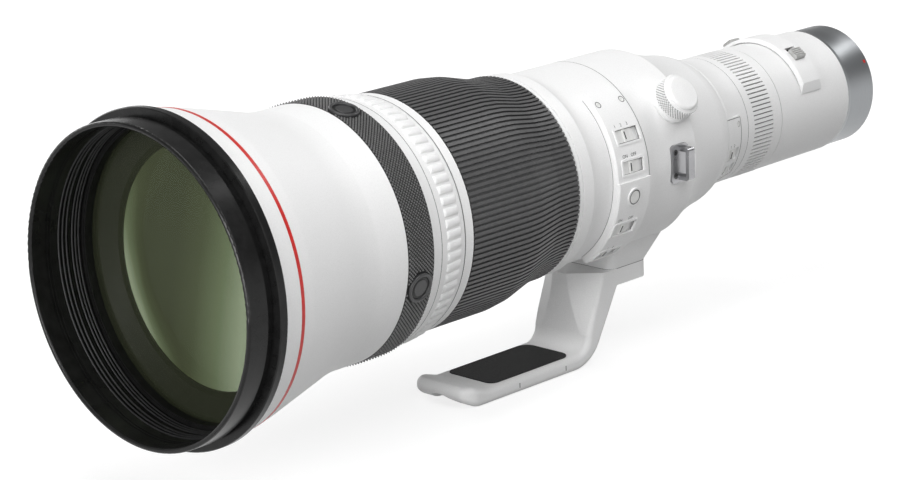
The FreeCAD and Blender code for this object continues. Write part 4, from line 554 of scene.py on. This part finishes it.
def facing_out(form):
    """The same form with all its faces turned outwards."""
    def fill(build):
        form(build)
        bmesh.ops.recalc_face_normals(build, faces=build.faces)
    return fill


def add_piece(name, form, material, body, smooth=False):
    """Mesh object of a form, riding on a body."""
    build = bmesh.new()
    form(build)
    mesh = bpy.data.meshes.new(name)
    build.to_mesh(mesh)
    build.free()
    mesh.materials.append(material)
    if smooth:
        mesh.shade_smooth()
    piece = bpy.data.objects.new(name, mesh)
    bpy.context.scene.collection.objects.link(piece)
    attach(piece, body)


def add_lines(name, form, body="lens_body"):
    """Piece of fine dark lines."""
    add_piece(name, form, SEAM, body)


# Pieces

def mount_mark():
    """Small red square let into the rear edge of the mount skirt."""
    add_piece("mount_mark", boxes([upright_at(*MOUNT_MARK)], MOUNT_MARK_SIZE), RED, "lens_body")


def slider_marks():
    """Short black line across each slider."""
    for name, body, station, angle, face in SLIDER_MARKS:
        place = upright_at(station, angle, face + SLIDER_MARK_LIFT)
        add_piece(name, boxes([place], SLIDER_MARK_SIZE), INK, body)


def flat_word(text, height):
    """Mesh of a word lying flat, centred on its origin, in millimetres."""
    curve = bpy.data.curves.new("words", "FONT")
    curve.body = text
    curve.size = height * FONT_PER_HEIGHT
    curve.align_x = "CENTER"
    curve.align_y = "CENTER"
    source = bpy.data.objects.new("words", curve)
    flat = bpy.data.meshes.new_from_object(source)
    bpy.data.objects.remove(source)
    return flat


def panel_words():
    """Plain words wrapped on the panels, reading from the front of the lens to its rear."""
    for number, (text, station, angle, radius, height) in enumerate(WORDS, 1):
        def form(build):
            build.from_mesh(flat_word(text, height))
            for vertex in build.verts:
                rise = math.degrees(vertex.co.y / radius)
                vertex.co = spot(station - vertex.co.x, angle - rise, radius + INK_LIFT)
        add_piece("panel_word_%d" % number, form, INK, "lens_body")


def knob_band():
    """Rows of small studs round the knob's band, and a grey band of painted shade between them."""
    lift = Matrix.Rotation(math.radians(-KNOB_ANGLE), 4, "X")
    low, high = KNOB_BAND
    studs = []
    for row in range(KNOB_ROWS):
        height = low + (row + 0.5) * (high - low) / KNOB_ROWS
        for i in range(KNOB_STUDS):
            turn = (i + 0.5 * (row % 2)) * 2 * math.pi / KNOB_STUDS
            place = shift(KNOB_STATION, 0, height) @ Matrix.Rotation(turn, 4, "Z")
            studs.append(lift @ (place @ shift(KNOB_BAND_R, 0, 0) @ Matrix.Rotation(math.pi / 4, 4, "X")))
    add_piece("lock_knob_knurl", boxes(studs, STUD_SIZE), WHITE, "lock_knob")
    # Grey cylinder just over the knob's band: painted shade between the studs
    radius = KNOB_BAND_R + KNOB_SHADE_LIFT
    shade_band = lathes([lift @ shift(KNOB_STATION, 0, 0)], ((radius, low), (radius, high)))
    add_piece("lock_knob_shade_band", shade_band, SHADE, "lock_knob", smooth=True)


def clear_of_buttons(station, angle):
    """Whether a place on the grip lies outside every bezel."""
    for button in BUTTON_ANGLES:
        off = (angle - button + 180) % 360 - 180
        if math.hypot(station - BUTTON_STATION, math.radians(off) * GRIP_R) < BEZEL_R + KNURL_CLEARANCE:
            return False
    return True


def grip_knurl():
    """Small rubber pyramids over the grip, standing in crossed rows and leaving the buttons free. Their
    lighter grey is a painted highlight.
    """
    rows = 2 * round(GRIP_LENGTH / KNURL_PITCH)
    count = round(2 * math.pi * GRIP_R / KNURL_PITCH)
    half_row = GRIP_LENGTH / rows
    half_turn = 180.0 / count
    corners = ((-KNURL_COVER, 0), (0, KNURL_COVER), (KNURL_COVER, 0), (0, -KNURL_COVER))

    def form(build):
        for row in range(1, rows):
            station = GRIP_REAR + row * half_row
            for i in range(count):
                angle = (2 * i + row % 2) * half_turn
                if not clear_of_buttons(station, angle):
                    continue
                base = [build.verts.new(spot(station + along * half_row, angle + across * half_turn,
                                             GRIP_R - KNURL_SINK)) for along, across in corners]
                tip = build.verts.new(spot(station, angle, GRIP_R + KNURL_HEIGHT))
                for one, two in zip(base, base[1:] + base[:1]):
                    build.faces.new((one, two, tip))
    add_piece("grip_knurl", facing_out(form), GRIP_TIP_HIGHLIGHT, "lens_body")


def button_faces():
    """Rounded rim on each bezel, and on each button a dark groove round a raised middle."""
    bezels = [upright_at(BUTTON_STATION, angle, BEZEL_TOP) for angle in BUTTON_ANGLES]
    add_piece("bezel_rims", lathes(bezels, BEZEL_RIM), BUTTON, "lens_body", smooth=True)
    for number, angle in enumerate(BUTTON_ANGLES, 1):
        body = "function_button_%d" % number
        top = [upright_at(BUTTON_STATION, angle, BUTTON_TOP)]
        add_piece("button_groove_%d" % number, lathes(top, BUTTON_GROOVE), INNER, body)
        add_piece("button_middle_%d" % number, lathes(top, BUTTON_MIDDLE, closed=True), BUTTON, body)


def rib_rise(across, along):
    """Height of a rounded rib over its base at a share of its half width and of its length."""
    end = min(along, 1 - along, RIB_ROUND_END) / RIB_ROUND_END
    return RIB_HEIGHT * math.sqrt(max(0.0, 1 - across * across)) * math.sqrt(1 - (1 - end) ** 2)


def playback_ribs():
    """Rounded ribs over the short ribs of the playback ring."""
    rear, front = RIB_ENDS
    half_turn = math.degrees(RIB_HALF_WIDTH / RIB_BASE[0])

    def form(build):
        for i in range(RIB_COUNT):
            middle = RIB_FIRST + i * 360 / RIB_COUNT
            rows = []
            for along in RIB_ALONG:
                base = RIB_BASE[0] + (RIB_BASE[1] - RIB_BASE[0]) * along
                rows.append([spot(rear + (front - rear) * along, middle + across * half_turn,
                                  base - RIB_SINK + rib_rise(across, along)) for across in RIB_ACROSS])
            skin(build, rows)
    add_piece("playback_ribs", facing_out(form), WHITE, "playback_ring", smooth=True)


def foot_seam():
    """Joint line round the pedestal that carries the foot."""
    rear = PEDESTAL_ENDS[0] + PEDESTAL_CORNER
    front = PEDESTAL_ENDS[1] - PEDESTAL_CORNER
    side = PEDESTAL_HALF - PEDESTAL_CORNER
    reach = PEDESTAL_CORNER + PEDESTAL_LIFT
    height = Vector((0, 0, PEDESTAL_LINE)) * MM
    points = []
    for x, y, start in ((front, side, 0), (rear, side, 90), (rear, -side, 180), (front, -side, 270)):
        for angle in steps_between(start, start + 90, CORNER_STEPS):
            a = math.radians(angle)
            points.append(Vector((x + reach * math.cos(a), y + reach * math.sin(a), PEDESTAL_Z)) * MM)
    rows = [(point - height / 2, point + height / 2) for point in points]
    add_lines("foot_seam", lambda build: skin(build, rows, loop=True), "collar")


def joint_lines():
    """Joint lines round the rings, and lines of painted shade along the gaps at the rear and the front of the
    main switch panel.
    """
    rear, front, top, end = PANEL_EDGES

    def form(build):
        for station, radius in JOINTS:
            points = [spot(station, k * 360 / JOINT_STEPS, radius + JOINT_LIFT) for k in range(JOINT_STEPS)]
            ribbon(build, points, JOINT_WIDTH, loop=True)
        # Painted shade along the gaps at the main panel's rear and front edges
        for station in (rear, front):
            points = [spot(station, angle, PANEL_FOOT_R) for angle in steps_between(top, end, PANEL_STEPS)]
            ribbon(build, points, PANEL_SHADE_WIDTH)
    add_lines("joint_lines", form)


def rear_panel_edge_shade():
    """Painted shade along three edges of the rear switch panel, whose face widens towards the front."""
    rear, front, top, end = REAR_PANEL_EDGES
    turn = math.degrees(REAR_PANEL_SHADE_WIDTH / REAR_PANEL_R)

    def face_r(station):
        return REAR_PANEL_R + REAR_PANEL_FLARE * (station - rear)

    def form(build):
        inner = rear + REAR_PANEL_SHADE_WIDTH
        arc_strip(build, rear, inner, top, end, face_r(inner))
        for angle in (top - turn, end):
            skin(build, [(spot(station, angle, face_r(station)), spot(station, angle + turn, face_r(station)))
                         for station in steps_between(rear, front, REAR_PANEL_STEPS)])
    add_lines("rear_panel_edge_shade", form)


def window_gap_shade():
    """Painted shade in the gaps between each slider and its window, and dark rings in the gaps round the
    screws and the set button.
    """
    def form(build):
        for rear, front, first, last, radius in WINDOWS:
            turn = math.degrees(SIDE_GAP / radius)
            arc_strip(build, rear, rear + END_GAP, first, last, radius)
            arc_strip(build, front - END_GAP, front, first, last, radius)
            arc_strip(build, rear, front, first, first + turn, radius)
            arc_strip(build, rear, front, last - turn, last, radius)
    add_lines("window_gap_shade", form)
    add_lines("screw_gaps", lathes([upright_at(*place) for place in SCREWS], SCREW_GAP))
    add_lines("set_button_gap", lathes([upright_at(*SET_BUTTON)], SET_BUTTON_GAP))


def control_grooves():
    """Shade in the floor of each groove of the control ring."""
    turn = math.degrees(CONTROL_HALF_WIDTH / CONTROL_FLOOR_R)

    def form(build):
        for i in range(CONTROL_GROOVES):
            angle = (i + CONTROL_FIRST) * 360 / CONTROL_GROOVES
            arc_strip(build, *CONTROL_ENDS, angle - turn, angle + turn, CONTROL_FLOOR_R)
    add_lines("control_groove_shade", form, "control_ring")


def light_traps():
    """Fine ridges on the inner wall of the front rim."""
    places = [shift(station, 0, 0) @ Matrix.Rotation(math.pi / 2, 4, "Y") for station in TRAP_STATIONS]
    ridges = facing_out(lathes(places, TRAP_PROFILE, TRAP_STEPS))
    add_piece("light_trap_ridges", ridges, PLASTIC, "lens_body", smooth=True)


def foot_threads():
    """Thread ridges inside the two holes under the foot."""
    for number, (station, radius, pitch) in enumerate(THREADS, 1):
        rows = []
        for i in range(int(THREAD_STEPS * THREAD_DEPTH / pitch) + 1):
            a = i * 2 * math.pi / THREAD_STEPS
            height = FLOOR_Z + THREAD_START + i * pitch / THREAD_STEPS
            rows.append([Vector((station + (radius + rise) * math.cos(a), (radius + rise) * math.sin(a),
                                 height + share * pitch)) * MM for rise, share in THREAD_PROFILE])
        add_piece("foot_thread_%d" % number, lambda build: skin(build, rows), STEEL, "collar")


def foot_marks():
    """Two fine engraved lines on each side of the foot."""
    places = [shift(station, side, FOOT_MARK_Z) for station in FOOT_MARKS
              for side in (-FOOT_MARK_SIDE, FOOT_MARK_SIDE)]
    add_lines("foot_side_marks", boxes(places, FOOT_MARK_SIZE), "collar")


# Stage, light and camera

def floor():
    """Pale seamless floor that shows near white and keeps a soft shadow."""
    bpy.ops.mesh.primitive_plane_add(size=FLOOR_SIZE, location=(FLOOR_MIDDLE, 0.0, FLOOR_Z * MM))
    plane = bpy.context.object
    plane.name = "floor"
    paint = Paint("floor_white")
    x, y, _ = paint.split(paint.place)
    glow = paint.ramp(paint.distance(x, y), *FLOOR_GLOW, *FLOOR_GLOW_REACH)
    paint.set(Base_Color=paint.colours(paint.noise(3.0), (0.3, grey(0.30)), (0.7, grey(0.32))),
              Roughness=0.9, Specular_IOR_Level=0.1, Emission_Color=(1.0, 1.0, 1.0, 1.0),
              Emission_Strength=paint.maths("MULTIPLY", paint.seen_only(), glow))
    plane.data.materials.append(paint.material)


def world():
    """White to the camera, dim as a light, and in reflections and glass white under a darker ceiling."""
    studio = bpy.data.worlds.new("studio")
    studio.use_nodes = True
    nodes = Nodes(studio.node_tree)
    rise = nodes.split(nodes.add("TexCoord").outputs["Generated"])[2]
    ceiling = nodes.ramp(rise, SKY_SEEN, CEILING_SEEN, *CEILING_RISE)
    gloss = nodes.ramp(nodes.seen_only(), SKY_LIGHT, ceiling, 0.0, 1.0)
    straight = nodes.ramp(nodes.add("LightPath").outputs["Is Camera Ray"], gloss, SKY_SEEN, 0.0, 1.0)
    sky = nodes.tree.nodes["Background"]
    nodes.feed(sky.inputs["Color"], (1.0, 1.0, 1.0, 1.0))
    nodes.feed(sky.inputs["Strength"], straight)
    bpy.context.scene.world = studio


def softboxes():
    """Rectangular lamps that all face the middle of the lens."""
    for name, place, width, height, power in SOFTBOXES:
        light = bpy.data.lights.new(name, "AREA")
        light.shape = "RECTANGLE"
        light.size = width
        light.size_y = height
        light.energy = power
        lamp = bpy.data.objects.new(name, light)
        lamp.location = place
        lamp.rotation_euler = (SOFTBOX_AIM - Vector(place)).to_track_quat("-Z", "Y").to_euler()
        bpy.context.scene.collection.objects.link(lamp)


def camera():
    """The photograph's camera."""
    lens = bpy.data.cameras.new("photo_camera")
    lens.lens = CAMERA_LENS
    lens.sensor_width = CAMERA_SENSOR
    shot = bpy.data.objects.new("photo_camera", lens)
    aim = (CAMERA_AIM - CAMERA_PLACE).to_track_quat("-Z", "Y").to_matrix().to_4x4()
    roll = Matrix.Rotation(math.radians(CAMERA_ROLL), 4, "Z")
    shot.matrix_world = Matrix.Translation(CAMERA_PLACE) @ aim @ roll
    bpy.context.scene.collection.objects.link(shot)
    bpy.context.scene.camera = shot
    bpy.context.scene.view_settings.view_transform = "Standard"


paint_nodes()
mount_mark()
slider_marks()
panel_words()
knob_band()
grip_knurl()
button_faces()
playback_ribs()
foot_seam()
joint_lines()
rear_panel_edge_shade()
window_gap_shade()
control_grooves()
light_traps()
foot_threads()
foot_marks()
floor()
world()
softboxes()
camera()
